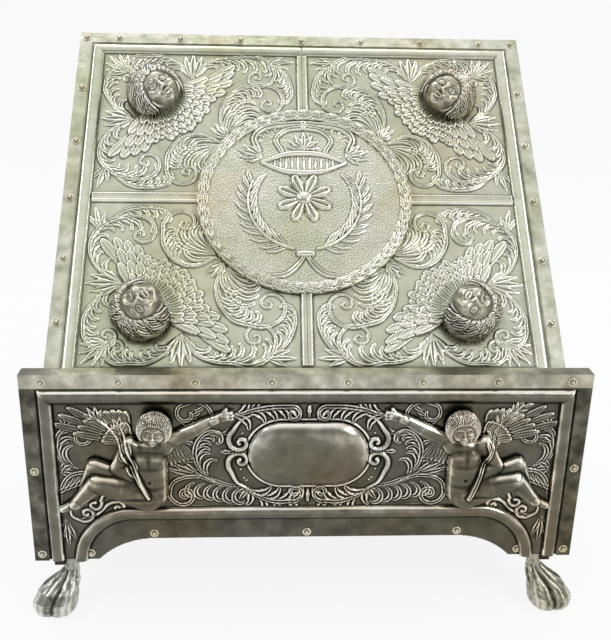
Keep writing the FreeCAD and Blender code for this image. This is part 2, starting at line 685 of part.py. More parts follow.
def bow(start, end, rise, bar):
    """Half-round bar along the arc between two points that bulges to the left of its chord by rise."""
    chord = end - start
    radius = (chord.Length ** 2 / 4 + rise ** 2) / (2 * abs(rise))
    left = V(-chord.y, chord.x, 0).normalize()
    centre = (start + end) * 0.5 + left * (rise - math.copysign(radius, rise))
    first, last = (end, start) if rise > 0 else (start, end)
    angles = [math.degrees(math.atan2(point.y - centre.y, point.x - centre.x)) for point in (first, last)]
    return arc_bar(centre, radius, bar, angles[0], (angles[1] - angles[0]) % 360)


def palms():
    """Two palm branches that rise from a tie below the rosette and curve round it."""
    radius, leaf = num("dims.palm_radius"), num("dims.palm_leaf")
    width = leaf * 0.42
    pairs, first, step = 9, -82, 13
    leans = (0.5, -0.6)
    faces = []
    for side in (-1, 1):
        for i in range(pairs):
            turn = math.radians(first + step * i)
            stem = V(side * math.cos(turn), math.sin(turn), 0) * radius
            for lean in leans:
                aim = turn + math.pi / 2 - lean
                along = V(side * math.cos(aim), math.sin(aim), 0)
                faces.append(leaf_face(stem - along * (width / 2), stem + along * leaf, width))
    return joined_leaves(faces, num("dims.palm_thick"))


def palm_tie():
    """Ring round the palms' stems, whose ends flare out below it."""
    bar = num("dims.scroll_bar / 2")
    knot, stem = bar * 1.3, bar * 0.8
    spread, drop, sag = bar * 9, bar * 5.6, bar * 1.6
    middle = V(0, -num("dims.palm_radius") - 2 * knot, 0)
    ends = [bow(middle, middle + V(side * spread, -drop, 0), side * sag, stem) for side in (-1, 1)]
    return above_plane(Part.makeSphere(knot, middle).fuse(ends))


def crown():
    """Open crown above the rosette: a band seen from above, outer and inner bows, and a fleuron."""
    half, tall = num("dims.crown_width / 2"), num("dims.crown_tall")
    level = num("dims.crown_level")
    bar = num("dims.scroll_bar / 2") * 0.8
    band_rise, band_sag = tall * 0.28, tall * 0.16
    spread, shoulder, swell = half * 1.15, level + tall * 0.42, tall * 0.14
    arch, springing, arch_rise = half * 0.62, level + tall * 0.34, tall * 0.5
    left, right, top = V(-half, level, 0), V(half, level, 0), V(0, level + tall, 0)
    bars = [bow(left, right, band_rise, bar), bow(left, right, -band_sag, bar)]
    for side in (-1, 1):
        bars.append(bow(V(side * spread, shoulder, 0), top, -side * swell, bar))
    bars.append(bow(V(-arch, springing, 0), V(arch, springing, 0), arch_rise, bar))
    bars.append(Part.makeSphere(bar * 1.6, V(0, level + tall / 2, 0)))
    return above_plane(bars[0].fuse(bars[1:]))


# Cherubs

def capsule(start, end, first, last):
    """Two balls and the taper that touches both, turned as one solid."""
    along = end - start
    sine = (first - last) / along.Length
    lean = math.asin(sine)

    def on_ball(radius, level, angle):
        return V(radius * math.cos(angle), 0, level + radius * math.sin(angle))

    low, high = on_ball(first, 0, -math.pi / 2), on_ball(last, along.Length, math.pi / 2)
    foot, head = on_ball(first, 0, lean), on_ball(last, along.Length, lean)
    outline = [
        Part.Arc(low, on_ball(first, 0, (lean - math.pi / 2) / 2), foot),
        Part.LineSegment(foot, head),
        Part.Arc(head, on_ball(last, along.Length, (lean + math.pi / 2) / 2), high),
        Part.LineSegment(high, low),
    ]
    solid = Part.Face(Part.Wire([edge.toShape() for edge in outline])).revolve(V(), Z_AXIS, 360)
    solid.Placement = FreeCAD.Placement(start, FreeCAD.Rotation(Z_AXIS, along))
    return solid


def limb(joints):
    """Rounded limb through (x, y, z, radius) joints, each length a little slimmer than the last."""
    thinning = 0.03
    places = [V(x, y, z) for x, y, z, radius in joints]
    radii = [radius for x, y, z, radius in joints]
    lengths = []
    for i in range(len(joints) - 1):
        share = 1 - thinning * i
        lengths.append(capsule(places[i], places[i + 1], radii[i] * share, radii[i + 1] * share))
    return lengths


def cherub_head():
    """Round child's head in high relief, its crown towards +Y, with cheeks, nose, chin and curls."""
    skull = num("dims.cherub_width / 2")

    def ball(radius, x, y, z):
        return Part.makeSphere(radius * skull, V(x, y, z) * skull)

    solids = [ball(1, 0, 0.2, 0), ball(0.74, 0, -0.42, 0.12), ball(0.25, 0, -0.86, 0.5)]
    solids += [ball(0.42, side * 0.4, -0.36, 0.48) for side in (-1, 1)]
    solids.append(capsule(V(0, 0.1, 0.92) * skull, V(0, -0.2, 0.98) * skull, 0.1 * skull, 0.15 * skull))
    curls, first, step = 9, -12, 25.5
    wide, tall, middle = 0.92, 0.88, 0.24
    for i in range(curls):
        turn = math.radians(first + step * i)
        solids.append(ball(0.27, wide * math.cos(turn), middle + tall * math.sin(turn), 0.42))
    return above_plane(solids[0].fuse(solids[1:]))


def wing(chin_degrees, hand):
    """Half of the ruff of feathers below a head, from the line below the chin to the long leading feather."""
    root, width = num("dims.wing_root"), num("dims.feather_width")
    long, short = num("dims.wing_long"), num("dims.wing_short")
    part, sweep = num("dims.wing_part"), num("dims.wing_sweep")
    count = 8
    faces = []
    for i in range(count):
        share = i / (count - 1)
        aim = math.radians(chin_degrees + hand * (part + sweep * share))
        along = V(math.cos(aim), math.sin(aim), 0)
        reach = short + (long - short) * share ** 4
        faces.append(leaf_face(along * root, along * reach, width))
    return joined_leaves(faces, num("dims.wing_thick"))


CORNERS = (("top_left", -1, 1), ("top_right", 1, 1), ("low_left", -1, -1), ("low_right", 1, -1))


def cherubs():
    """A head and two wings in each corner of the desk, chins towards the medallion."""
    beside = num(f"{FIELD_EDGE} - dims.cherub_inset_across")
    along = num(f"{FIELD_TOP} - {MEDAL_S} - dims.cherub_inset_along")
    for name, side, rise in CORNERS:
        middle = V(side * beside, num(MEDAL_S) + rise * along, num("dims.sheet_thick"))
        outward = math.degrees(math.atan2(rise * along, side * beside))
        head = cherub_head()
        head.rotate(V(), Z_AXIS, outward - 90)
        hand = side * rise
        frame = desk_frame.multiply(FreeCAD.Placement(middle, FreeCAD.Rotation()))
        shaped(f"cherub_{name}", head, frame)
        shaped(f"wing_{name}_inner", wing(outward + 180, hand).cut(head), frame)
        shaped(f"wing_{name}_outer", wing(outward + 180, -hand).cut(head), frame)


# Front relief

def on_front(x, level):
    """Front frame moved to a place on the front sheet's face, given up from the legs."""
    place = V(x, num(level), num("dims.sheet_thick"))
    return front_frame.multiply(FreeCAD.Placement(place, FreeCAD.Rotation()))


def boss():
    """Oval boss with a rounded edge."""
    body = new_body("cartouche_boss_body", "front")
    radius = f"({BOSS_TALL} / 2)"
    flat = f"((dims.boss_width - {BOSS_TALL}) / 2)"
    points = [(f"-{flat}", BOSS_LOW), (flat, BOSS_LOW)]
    points += [(f"{flat} + {radius}", BOSS_Y), (flat, BOSS_HIGH)]
    points += [(f"-{flat}", BOSS_HIGH), (f"-{flat} - {radius}", BOSS_Y)]
    arcs = {1: (radius, 1), 2: (radius, 1), 4: (radius, 1), 5: (radius, 1)}
    sketch = draw(body, "boss_outline", "XY_Plane", points, arcs, level="dims.sheet_thick")
    block = pad(body, sketch, "dims.boss_height")
    highest = max(block.Shape.Faces, key=lambda face: face.CenterOfMass.z)
    index = next(i for i, face in enumerate(block.Shape.Faces, start=1) if face.isSame(highest))
    edge = body.newObject("PartDesign::Fillet", "boss_edge")
    edge.Base = (block, [f"Face{index}"])
    edge.setExpression("Radius", "dims.boss_round")
    doc.recompute()
    finished(body, "cartouche_boss")


def cartouche_frame():
    """Scrolled frame round the boss: a bar that follows it, four C scrolls and a leaf on each side."""
    bar = num("dims.scroll_bar / 2")
    gap = num("dims.scroll_gap")
    half_tall = num(f"{BOSS_TALL} / 2") + gap + bar
    flat = num(f"(dims.boss_width - {BOSS_TALL}) / 2")
    solids = []
    for side in (-1, 1):
        solids.append(arc_bar(V(side * flat, 0, 0), half_tall, bar, -90 if side > 0 else 90, 180))
        start = V(-flat, side * half_tall, 0)
        solids.append(Part.makeCylinder(bar, 2 * flat, start, X_AXIS))
    for side in (-1, 1):
        for rise in (-1, 1):
            solids += scroll_ends(side, rise, flat, half_tall, bar)
    return above_plane(solids[0].fuse(solids[1:]))


def scroll_ends(side, rise, flat, half_tall, bar):
    """Volutes of one C scroll: a large one over the boss and a small one beside it."""
    large, small, wire = bar * 1.9, bar * 1.5, bar * 0.7
    button, stud = bar * 1.2, bar * 1.1
    over = V(side * flat * 0.62, rise * (half_tall + bar * 1.3), 0)
    beside = V(side * (flat + half_tall * 0.96), rise * half_tall * 0.62, 0)
    volutes = [Part.makeSphere(button, over), Part.makeSphere(stud, beside)]
    volutes.append(arc_bar(over, large, wire, 0, 360))
    volutes.append(arc_bar(beside, small, wire, 0, 360))
    return volutes


PUTTO_HEAD = (0.07, 1.0, 0.07, 0.225)
PUTTO_LIMBS = {
    "trunk": ((0.0, 0.63, 0.03, 0.21), (0.02, 0.34, 0.06, 0.19), (0.0, 0.02, 0.05, 0.2)),
    "near arm": ((0.2, 0.76, 0.08, 0.1), (0.57, 0.95, 0.09, 0.085), (0.81, 1.07, 0.075, 0.066)),
    "near hand": ((0.8, 1.06, 0.07, 0.062), (0.95, 1.11, 0.065, 0.07)),
    "far arm": ((-0.22, 0.73, 0.08, 0.098), (-0.4, 0.47, 0.1, 0.084), (0.0, 0.16, 0.21, 0.066)),
    "near leg": ((-0.06, 0.04, 0.12, 0.165), (-0.64, 0.28, 0.16, 0.128), (-0.95, -0.09, 0.1, 0.078)),
    "near foot": ((-0.94, -0.08, 0.1, 0.07), (-1.09, -0.19, 0.06, 0.055)),
    "far leg": ((-0.1, 0.1, 0.04, 0.14), (-0.7, 0.44, 0.06, 0.108), (-0.8, 0.14, 0.05, 0.084)),
    "wing": ((-0.26, 0.78, 0.0, 0.08), (-0.66, 1.0, 0.0, 0.075), (-1.02, 1.1, 0.0, 0.03)),
    "stalk": ((0.0, 0.2, 0.24, 0.03), (-0.5, 0.98, 0.08, 0.026), (-0.66, 1.1, 0.05, 0.06)),
}


def putto(side):
    """Seated winged child in relief, reaching for the cartouche; joints are shares of its height."""
    tall = num(PUTTO_TALL)
    x, y, z, radius = PUTTO_HEAD
    solids = [Part.makeSphere(radius * tall, V(-side * x, y, z) * tall)]
    for joints in PUTTO_LIMBS.values():
        solids += limb([(-side * x * tall, y * tall, z * tall, radius * tall) for x, y, z, radius in joints])
    return above_plane(solids[0].fuse(solids[1:]))


def front_relief():
    """Oval boss in its frame between two seated putti."""
    boss()
    shaped("cartouche_frame", cartouche_frame(), on_front(0, BOSS_Y))
    for name, side in (("left", -1), ("right", 1)):
        shaped(f"putto_{name}", putto(side), on_front(side * num("dims.putto_offset"), HIP_Y))


# Feet

def foot(side, end):
    """Cast foot: four toes fanned outwards from a ball, a neck, a plate under the leg and a square peg."""
    reach, tip = num("dims.toe_reach"), num("dims.toe_radius")
    heel, neck = num("dims.heel_radius"), num("dims.neck_radius")
    top = num("dims.foot_height")
    plate = num("dims.flange_thick")
    solids = [Part.makeSphere(heel, V(0, 0, heel * 0.9))]
    solids.append(Part.makeCone(heel * 0.85, neck, top - plate - heel, V(0, 0, heel)))
    outward = math.atan2(end, side)
    toes, first, step = 4, -48, 32
    instep, knuckle, tip_level = heel * 1.25, tip * 0.85, tip * 0.92
    for i in range(toes):
        turn = outward + math.radians(first + step * i)
        along = V(math.cos(turn), math.sin(turn), 0)
        start = along * knuckle + V(0, 0, instep)
        solids.append(capsule(start, along * reach + V(0, 0, tip_level), knuckle, tip))
    width = num("dims.flange_width")
    depth = num("dims.front_thick - 2 * dims.flange_margin")
    peg = num("dims.tang_width")
    solids.append(Part.makeBox(width, depth, plate, V(-width / 2, -depth / 2, top - plate)))
    solids.append(Part.makeBox(peg, peg, num("dims.tang_length"), V(-peg / 2, -peg / 2, top)))
    return above_plane(solids[0].fuse(solids[1:]))


def feet():
    """Two front feet under the front board's legs and two rear feet under the back board's."""
    for end, sign, y in (("front", -1, num(FRONT_FOOT_Y)), ("rear", 1, num(BACK_FOOT_Y))):
        for side, hand in (("left", -1), ("right", 1)):
            place = FreeCAD.Placement(V(hand * num(FOOT_X), y, 0), FreeCAD.Rotation())
            shaped(f"{end}_{side}_foot", foot(hand, sign), place)


# The whole stand

def side_frame(sign):
    """Frame of a side's outer face: X to the rear, Y up, from the front board at the side legs' level."""
    turn = FreeCAD.Rotation(V(0, sign, 0), Z_AXIS, V(sign, 0, 0))
    return FreeCAD.Placement(V(sign * num(HALF_DESK), num(INNER_Y), num(SIDE_Z)), turn)


def sides():
    """Both side boards with their sheets and nails."""
    for side, sign in (("left", -1), ("right", 1)):
        places = [(sign * x, y, seat) for x, y, seat in side_nail_places()]
        holes = nail_group(f"{side}_side_nails", places, side_frame(sign))
        side_board(side, sign, holes)
        side_sheet(side, sign, holes)


def build():
    """Make every sub-part."""
    desk_holes = nail_group("desk_nails", desk_nail_places(), desk_frame)
    front_holes = nail_group("front_nails", front_nail_places(), front_frame)
    front_board(front_holes)
    desk_board(desk_holes)
    sides()
    back_board()
    for end in ("front", "rear"):
        for side, sign in (("left", -1), ("right", 1)):
            corner_block(end, side, sign)
    desk_sheet(desk_holes)
    front_sheet(front_holes)
    for side, sign in (("left", -1), ("right", 1)):
        desk_side_strip(side, sign, desk_holes)
        front_side_strip(side, sign, front_holes)
    top_strip("desk_strip_top", "desk", "dims.desk_length", HALF_DESK, "dims.desk_thick", None, desk_holes)
    top_strip("front_strip_top", "front", "dims.front_height", HALF_FRONT, "dims.front_thick",
              "dims.strip_return", front_holes)
    low_strip(desk_holes)
    medallion()
    cherubs()
    front_relief()
    feet()


def check_and_write():
    """Refuse a failed feature or a bad solid, then write each sub-part to its file."""
    doc.recompute()
    failed = [item.Label for item in doc.Objects if {"Invalid", "Error"} & set(item.State)]
    shapes = {piece.Label: piece.Shape for piece in nodes}
    empty = [name for name, shape in shapes.items() if shape.isNull() or not shape.Solids]
    bad = empty + [name for name, shape in shapes.items() if not shape.isValid()]
    if failed or bad:
        raise ValueError(f"failed features {failed}, bad solids {bad}")
    os.makedirs("parts", exist_ok=True)
    for piece in nodes:
        piece.Shape.exportStep(f"parts/{piece.Label}.step")
    print(len(nodes), "nodes")


build()
check_and_write()
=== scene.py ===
"""Looks of the altar book stand: embossed silver on dark wood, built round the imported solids."""
import math

import bpy
import numpy as np
from mathutils import Matrix, Vector

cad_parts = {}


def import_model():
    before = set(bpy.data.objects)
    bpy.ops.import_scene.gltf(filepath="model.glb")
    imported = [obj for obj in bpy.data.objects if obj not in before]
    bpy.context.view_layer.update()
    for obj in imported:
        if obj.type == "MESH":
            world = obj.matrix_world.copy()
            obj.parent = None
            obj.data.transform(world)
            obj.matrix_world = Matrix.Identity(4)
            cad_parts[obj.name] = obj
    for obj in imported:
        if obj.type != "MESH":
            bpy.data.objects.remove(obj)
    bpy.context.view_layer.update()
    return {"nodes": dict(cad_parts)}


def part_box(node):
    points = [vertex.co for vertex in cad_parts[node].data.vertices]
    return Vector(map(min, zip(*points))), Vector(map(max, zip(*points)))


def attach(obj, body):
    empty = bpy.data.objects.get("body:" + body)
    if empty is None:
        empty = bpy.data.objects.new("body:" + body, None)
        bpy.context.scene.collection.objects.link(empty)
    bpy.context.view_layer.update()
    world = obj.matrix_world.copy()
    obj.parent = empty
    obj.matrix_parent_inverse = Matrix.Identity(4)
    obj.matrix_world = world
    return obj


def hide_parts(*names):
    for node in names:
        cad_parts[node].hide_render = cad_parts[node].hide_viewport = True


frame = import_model()
MM = 0.001

# Sizes in millimetres that the solids have too.
LIP = 22.0
FIELD_EDGE = 142.4
FIELD_TOP = 267.4
FIELD_LOW = 22.7
DESK_LONG = 285.0
DESK_HALF = 160.0
SETBACK = 2.5
MEDAL_S = (FIELD_TOP + FIELD_LOW) / 2
SHEET = 0.8
PLATE = 2.0
BEAD = 8.4
BEAD_HEIGHT = 3.4
FRONT_HALF = 169.2
FRONT_TALL = 126.0

FRONT_LOW, FRONT_HIGH = (np.array(corner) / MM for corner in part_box("front_board"))
SLOPE = math.sqrt(0.5)
# Quarters of the desk: name, side, and 1 for an upper or -1 for a lower one.
CORNERS = (("top_left", -1, 1), ("top_right", 1, 1), ("low_left", -1, -1), ("low_right", 1, -1))


class Place:
    """Local millimetres to the stand's metres."""

    def __init__(self, origin, across, along, out):
        self.origin = np.asarray(origin, float)
        self.axes = np.array((across, along, out), float)

    def __call__(self, points):
        return (np.asarray(points, float) @ self.axes + self.origin) * MM

    def moved(self, across, along, out=0.0, turn=0.0, scale=1.0):
        """Frame at a place in this one, turned about its outward axis by degrees."""
        c, s = ray(turn)
        spin = np.array(((c, s, 0), (-s, c, 0), (0, 0, 1)))
        origin = np.array((across, along, out)) @ self.axes + self.origin
        return Place(origin, *(spin @ self.axes * scale))


DESK = Place((0, FRONT_HIGH[1], FRONT_HIGH[2] - LIP), (1, 0, 0), (0, SLOPE, SLOPE), (0, -SLOPE, SLOPE))
FRONT = Place((0, FRONT_LOW[1], FRONT_HIGH[2]), (1, 0, 0), (0, 0, -1), (0, -1, 0))


# Curves and height maps

CURVE_STEP = 0.9
CURL_STEPS = 14
TURN_STEPS = 46


def ray(degrees):
    """Unit vectors at angles from the first axis."""
    turn = np.radians(degrees)
    return np.stack((np.cos(turn), np.sin(turn)), -1)


def bell(value):
    """Soft bump that is one high in the middle and fades within two either way."""
    return np.exp(-value ** 2)


def half_circle(value):
    """Height of a half circle from -1 to 1, and nought beside it."""
    return np.sqrt(np.clip(1 - value ** 2, 0, 1))


def smooth(points):
    """Even curve through given points."""
    p = np.asarray(points, float)
    ends = np.vstack((2 * p[0] - p[1], p, 2 * p[-1] - p[-2]))
    runs = []
    for a, b, c, d in zip(ends, ends[1:], ends[2:], ends[3:]):
        count = max(int(np.hypot(*(c - b)) / CURVE_STEP), 2)
        t = np.linspace(0, 1, count, endpoint=False)[:, None]
        bend = (2 * a - 5 * b + 4 * c - d) * t ** 2 + (3 * b - a - 3 * c + d) * t ** 3
        runs.append(0.5 * (2 * b + (c - a) * t + bend))
    return np.vstack(runs + [p[-1:]])


def curl(start, heading, length, turn, hook=1.6):
    """Path of a given length whose heading turns ever faster; degrees."""
    headings = heading + turn * np.linspace(0, 1, CURL_STEPS) ** hook
    steps = ray(headings) * length / CURL_STEPS
    start = np.asarray(start, float)
    return np.vstack((start[None], start + np.cumsum(steps, 0)))


def volute(points, centre, turns, inner):
    """Smooth stem through points that winds in on a centre; turns is negative the other way round."""
    stem = smooth(points)
    offset = stem[-1] - np.asarray(centre, float)
    outer = np.hypot(*offset)
    share = np.linspace(0, 1, int(TURN_STEPS * abs(turns)))[1:]
    radius = outer * (inner / outer) ** share
    angle = math.degrees(math.atan2(offset[1], offset[0])) + 360 * turns * share
    return np.vstack((stem, centre + radius[:, None] * ray(angle)))


def smoothstep(low, high, value):
    """Even rise from nought to one."""
    t = np.clip((value - low) / (high - low), 0, 1)
    return t * t * (3 - 2 * t)


def blurred(h, radius):
    """Height map smoothed by three box blurs; radius in cells."""
    size = 2 * radius + 1
    for axis in (0, 1) * 3:
        first = np.repeat(np.take(h, [0], axis), radius + 1, axis)
        last = np.repeat(np.take(h, [-1], axis), radius, axis)
        total = np.cumsum(np.concatenate([first, h, last], axis), axis)
        n = h.shape[axis]
        h = (np.take(total, range(size, size + n), axis) - np.take(total, range(n), axis)) / size
    return h


def noise(shape, cells, seed):
    """Smooth random surface, about -1 to 1."""
    rough = np.random.default_rng(seed).uniform(-1, 1, shape)
    soft = blurred(rough, cells)
    return soft / max(np.abs(soft).max(), 1e-9)


class Relief:
    """Height map in millimetres over a rectangle."""

    DEEPEST = -0.55

    def __init__(self, low, high, step):
        self.x = np.arange(low[0], high[0] + step / 2, step)
        self.y = np.arange(low[1], high[1] + step / 2, step)
        self.step = step
        self.h = np.zeros((len(self.y), len(self.x)))

    def grid(self):
        """Both coordinates of every cell."""
        return np.meshgrid(self.x, self.y)

    def window(self, low, high):
        """Rows and columns that cover a rectangle."""
        corner = np.array((self.x[0], self.y[0]))
        first = np.floor((np.asarray(low) - corner) / self.step).astype(int)
        last = np.ceil((np.asarray(high) - corner) / self.step).astype(int) + 1
        first, last = np.maximum(first, 0), np.maximum(last, 0)
        rows = slice(min(first[1], len(self.y)), min(last[1], len(self.y)))
        return rows, slice(min(first[0], len(self.x)), min(last[0], len(self.x)))

    def near(self, path, reach):
        """Window, distance, signed offset and share along a path for the cells round it."""
        rows, cols = self.window(path.min(0) - reach, path.max(0) + reach)
        shape = self.h[rows, cols].shape
        distance, offset, share = np.full(shape, np.inf), np.zeros(shape), np.zeros(shape)
        runs = np.hypot(*np.diff(path, axis=0).T)
        done = np.concatenate(([0], np.cumsum(runs)))
        for k, (p, q) in enumerate(zip(path, path[1:])):
            r, c = self.window(np.minimum(p, q) - reach, np.maximum(p, q) + reach)
            if r.stop <= r.start or c.stop <= c.start or runs[k] == 0:
                continue
            local = (slice(r.start - rows.start, r.stop - rows.start),
                     slice(c.start - cols.start, c.stop - cols.start))
            dx = self.x[c] - p[0]
            dy = (self.y[r] - p[1])[:, None]
            ux, uy = (q - p) / runs[k]
            along = np.clip(dx * ux + dy * uy, 0, runs[k])
            d = np.hypot(dx - along * ux, dy - along * uy)
            closer = d < distance[local]
            distance[local][closer] = d[closer]
            offset[local][closer] = np.copysign(d, ux * dy - uy * dx)[closer]
            share[local][closer] = ((done[k] + along) / done[-1])[closer]
        return (rows, cols), distance, offset, share

    def stroke(self, path, width, height, start=1.0, end=1.0, ridges=1, rim=0.28, top=0.4, moat=0.8):
        """Rounded ridge along a path, tapered to its ends, with an incised outline; ridges run along it."""
        path = np.asarray(path, float)
        win, d, offset, share = self.near(path, width / 2 + moat + 0.5)
        if d.size == 0:
            return
        taper = np.interp(share, (0, top, 1), (start, 1, end))
        half = np.maximum(width / 2 * taper, 0.05)
        inside = d < half
        dome = (1 - np.clip(d / half, 0, 1) ** 2) ** 0.7
        if ridges > 1:
            waves = 0.5 - 0.5 * np.cos(math.pi * ridges * (np.clip(offset / half, -1, 1) + 1))
            dome = dome * (0.3 + 0.7 * waves)
        groove = np.clip(1 - (d - half) / moat, 0, 1) * ~inside * np.minimum(taper * 1.5, 1)
        ground = np.maximum(self.h[win] - rim * groove, self.DEEPEST)
        body = height * np.minimum(taper ** 0.6, 1) * dome
        self.h[win] = np.where(inside, np.maximum(ground, body), ground)

    def lobe(self, path, width, height):
        """Leaf lobe: narrow at its root, broad before its tip."""
        self.stroke(path, width, height, start=0.4, end=0.45, ridges=2, top=0.62)

    def fan(self, base, aim, spread, lengths, width, height, bend=0):
        """Lobes from one base, spread about an aim in degrees."""
        count = len(lengths)
        for i in sorted(range(count), key=lambda i: -abs(i - (count - 1) / 2)):
            lean = (i / (count - 1) - 0.5) * 2
            path = curl(base, aim + lean * spread / 2, lengths[i], lean * bend)
            tall = height * (1.1 - 0.15 * abs(lean))
            self.stroke(path, width, tall, start=0.3, end=0.2, ridges=2, top=0.6)

    def fronds(self, path, first, last, count, lengths, lean, turn, width, height, hook=1.6):
        """Lobes that leave a stem one after another; lean and turn in degrees, positive to the right."""
        path = np.asarray(path, float)
        runs = np.hypot(*np.diff(path, axis=0).T)
        done = np.concatenate(([0], np.cumsum(runs))) / runs.sum()
        for i in range(count):
            part = i / max(count - 1, 1)
            k = min(int(np.searchsorted(done, first + (last - first) * part)), len(path) - 2)
            heading = math.degrees(math.atan2(*(path[k + 1] - path[k])[::-1]))
            length = lengths[0] + (lengths[1] - lengths[0]) * part
            self.lobe(curl(path[k], heading + lean, length, turn, hook), width, height)

    def feather(self, base, tip, width, root, lift, barbs=1.7):
        """Feather laid over what is below: rises to its round tip, with a shaft and barbs."""
        base, tip = np.asarray(base, float), np.asarray(tip, float)
        length = np.hypot(*(tip - base))
        ux, uy = (tip - base) / length
        reach = width / 2 + 1
        rows, cols = self.window(np.minimum(base, tip) - reach, np.maximum(base, tip) + reach)
        dx = self.x[cols] - base[0]
        dy = (self.y[rows] - base[1])[:, None]
        along = (dx * ux + dy * uy) / length
        across = (dy * ux - dx * uy) / (width / 2)
        bulge = 0.62
        tip_round = half_circle((along - bulge) / (1 - bulge))
        edge = np.where(along < bulge, 0.6 + 0.4 * np.clip(along / bulge, 0, 1), tip_round)
        inside = (np.abs(across) < edge) & (along > 0) & (along < 1)
        q = np.clip(np.abs(across) / np.maximum(edge, 0.05), 0, 1)
        shaft = bell(across / 0.16)
        comb = np.cos(2 * math.pi * (along * length - np.abs(across) * width * 0.5) / barbs)
        height = root + lift * np.clip(along, 0, 1) ** 0.8 + 0.28 * shaft + 0.1 * comb * (1 - shaft)
        height += 0.34 * bell((q - 0.82) / 0.13) - 0.4 * lift * q ** 6
        view = self.h[rows, cols]
        margin = 1.3 / width
        halo = (np.abs(across) < edge + margin) & (along > 0.4) & (along < 1 + margin / 2) & ~inside
        view[halo] -= 0.25
        view[inside] = height[inside]


# Meshes

# Value of the map on walls and undersides, where it gives a dark colour.
WALL_MAP_VALUE = 0.3


def wear_and_light_of(h, step, swell=0.12):
    """Rubbed and tarnished metal together with painted light: high on ridges as a painted highlight, low in
    grooves as painted shade; swell is what broad forms add to it.
    """
    fine = (h - blurred(h, max(int(round(0.6 / step)), 1))) / 0.26
    broad = (h - blurred(h, max(int(round(5 / step)), 1))) / 2.6
    return np.clip(0.45 + 0.42 * np.clip(fine, -1, 1) + swell * np.clip(broad, -1, 1), 0, 1)


def sound_cells(inside):
    """Cells with four corners inside, without pairs that touch only at a corner."""
    keep = inside[:-1, :-1] & inside[1:, :-1] & inside[:-1, 1:] & inside[1:, 1:]
    while True:
        a, b, c, d = keep[:-1, :-1], keep[:-1, 1:], keep[1:, :-1], keep[1:, 1:]
        crossed = (a & d & ~b & ~c) | (b & c & ~a & ~d)
        if not crossed.any():
            return keep
        for rows in (slice(None, -1), slice(1, None)):
            for cols in (slice(None, -1), slice(1, None)):
                keep[rows, cols] &= ~crossed


def boundary_loops(quads, count):
    """Loops of the edges that only one face has."""
    edges = np.concatenate([quads[:, (i, (i + 1) % 4)] for i in range(4)])
    codes = edges[:, 0] * count + edges[:, 1]
    open_edges = edges[~np.isin(codes, edges[:, 1] * count + edges[:, 0])]
    following = dict(open_edges.tolist())
    loops = []
    while following:
        start, at = following.popitem()
        loop = [start]
        while at != start:
            loop.append(at)
            at = following.pop(at)
        loops.append(loop)
    return loops


def surface(name, place, points, base, wear_and_light, inside=None, flip=False, wrap=(False, False), chart=None):
    """Closed piece under a grid of points: walls down to a base and a flat underside, or flat ends."""
    rows, cols = points.shape[:2]
    index = np.arange(rows * cols).reshape(rows, cols)
    if wrap[0]:
        index = np.vstack((index, index[:1]))
    if wrap[1]:
        index = np.hstack((index, index[:, :1]))
    quads = np.stack((index[:-1, :-1], index[:-1, 1:], index[1:, 1:], index[1:, :-1]), -1)
    quads = quads.reshape(-1, 4) if inside is None else quads[sound_cells(inside)]
    used, quads = np.unique(quads[:, ::-1] if flip else quads, return_inverse=True)
    quads = quads.reshape(-1, 4)
    top = points.reshape(-1, 3)[used]
    faces, bottom = quads.tolist(), []
    for loop in boundary_loops(quads, len(used)):
        if base is None:
            faces.append(loop[::-1])
            continue
        below = [len(used) + len(bottom) + i for i in range(len(loop))]
        bottom += [(x, y, base) for x, y, _ in top[loop].tolist()]
        for i in range(len(loop)):
            faces.append((loop[i], loop[i - 1], below[i - 1], below[i]))
        faces.append(below[::-1])
    mesh = bpy.data.meshes.new(name)
    mesh.from_pydata(place(np.vstack((top, np.reshape(bottom, (-1, 3))))).tolist(), [], faces)
    mesh.polygons.foreach_set("use_smooth", np.arange(len(faces)) < len(quads))
    set_wear_and_light(mesh, np.append(wear_and_light.reshape(-1)[used], np.full(len(bottom), WALL_MAP_VALUE)))
    plan = points[..., :2] if chart is None else chart
    add_chart(mesh, plan.reshape(-1, 2)[used], len(quads))
    return new_piece(name, mesh)


def set_wear_and_light(mesh, values):
    """Store at each point how rubbed and tarnished the metal is, together with its painted highlights and
    painted shade.
    """
    layer = mesh.attributes.new("wear_and_light", "FLOAT", "POINT")
    layer.data.foreach_set("value", np.asarray(values, np.float32))


def add_chart(mesh, plan, quads):
    """Flat map of the grid's faces; walls and underside share one corner of it."""
    low, high = plan.min(0), plan.max(0)
    share = (plan - low) / (high - low).max() * 0.98 + 0.01
    layer = mesh.uv_layers.new(name="OFBake")
    loops = np.zeros(len(mesh.loops), int)
    mesh.loops.foreach_get("vertex_index", loops)
    values = np.zeros((len(loops), 2), np.float32)
    values[:4 * quads] = share[loops[:4 * quads]]
    layer.data.foreach_set("uv", values.ravel())


def placed(name, data):
    """Object of some data, in the scene."""
    thing = bpy.data.objects.new(name, data)
    bpy.context.scene.collection.objects.link(thing)
    return thing


def new_piece(name, mesh):
    """Object of a mesh that rides on the stand."""
    mesh.update()
    piece = placed(name, mesh)
    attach(piece, "root")
    return piece


def dressed(piece, material, slot, *nodes):
    """Give a piece its material, and hide the nodes that it stands for; slot is not used."""
    piece.data.materials.clear()
    piece.data.materials.append(material)
    if nodes:
        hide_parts(*nodes)


# Materials

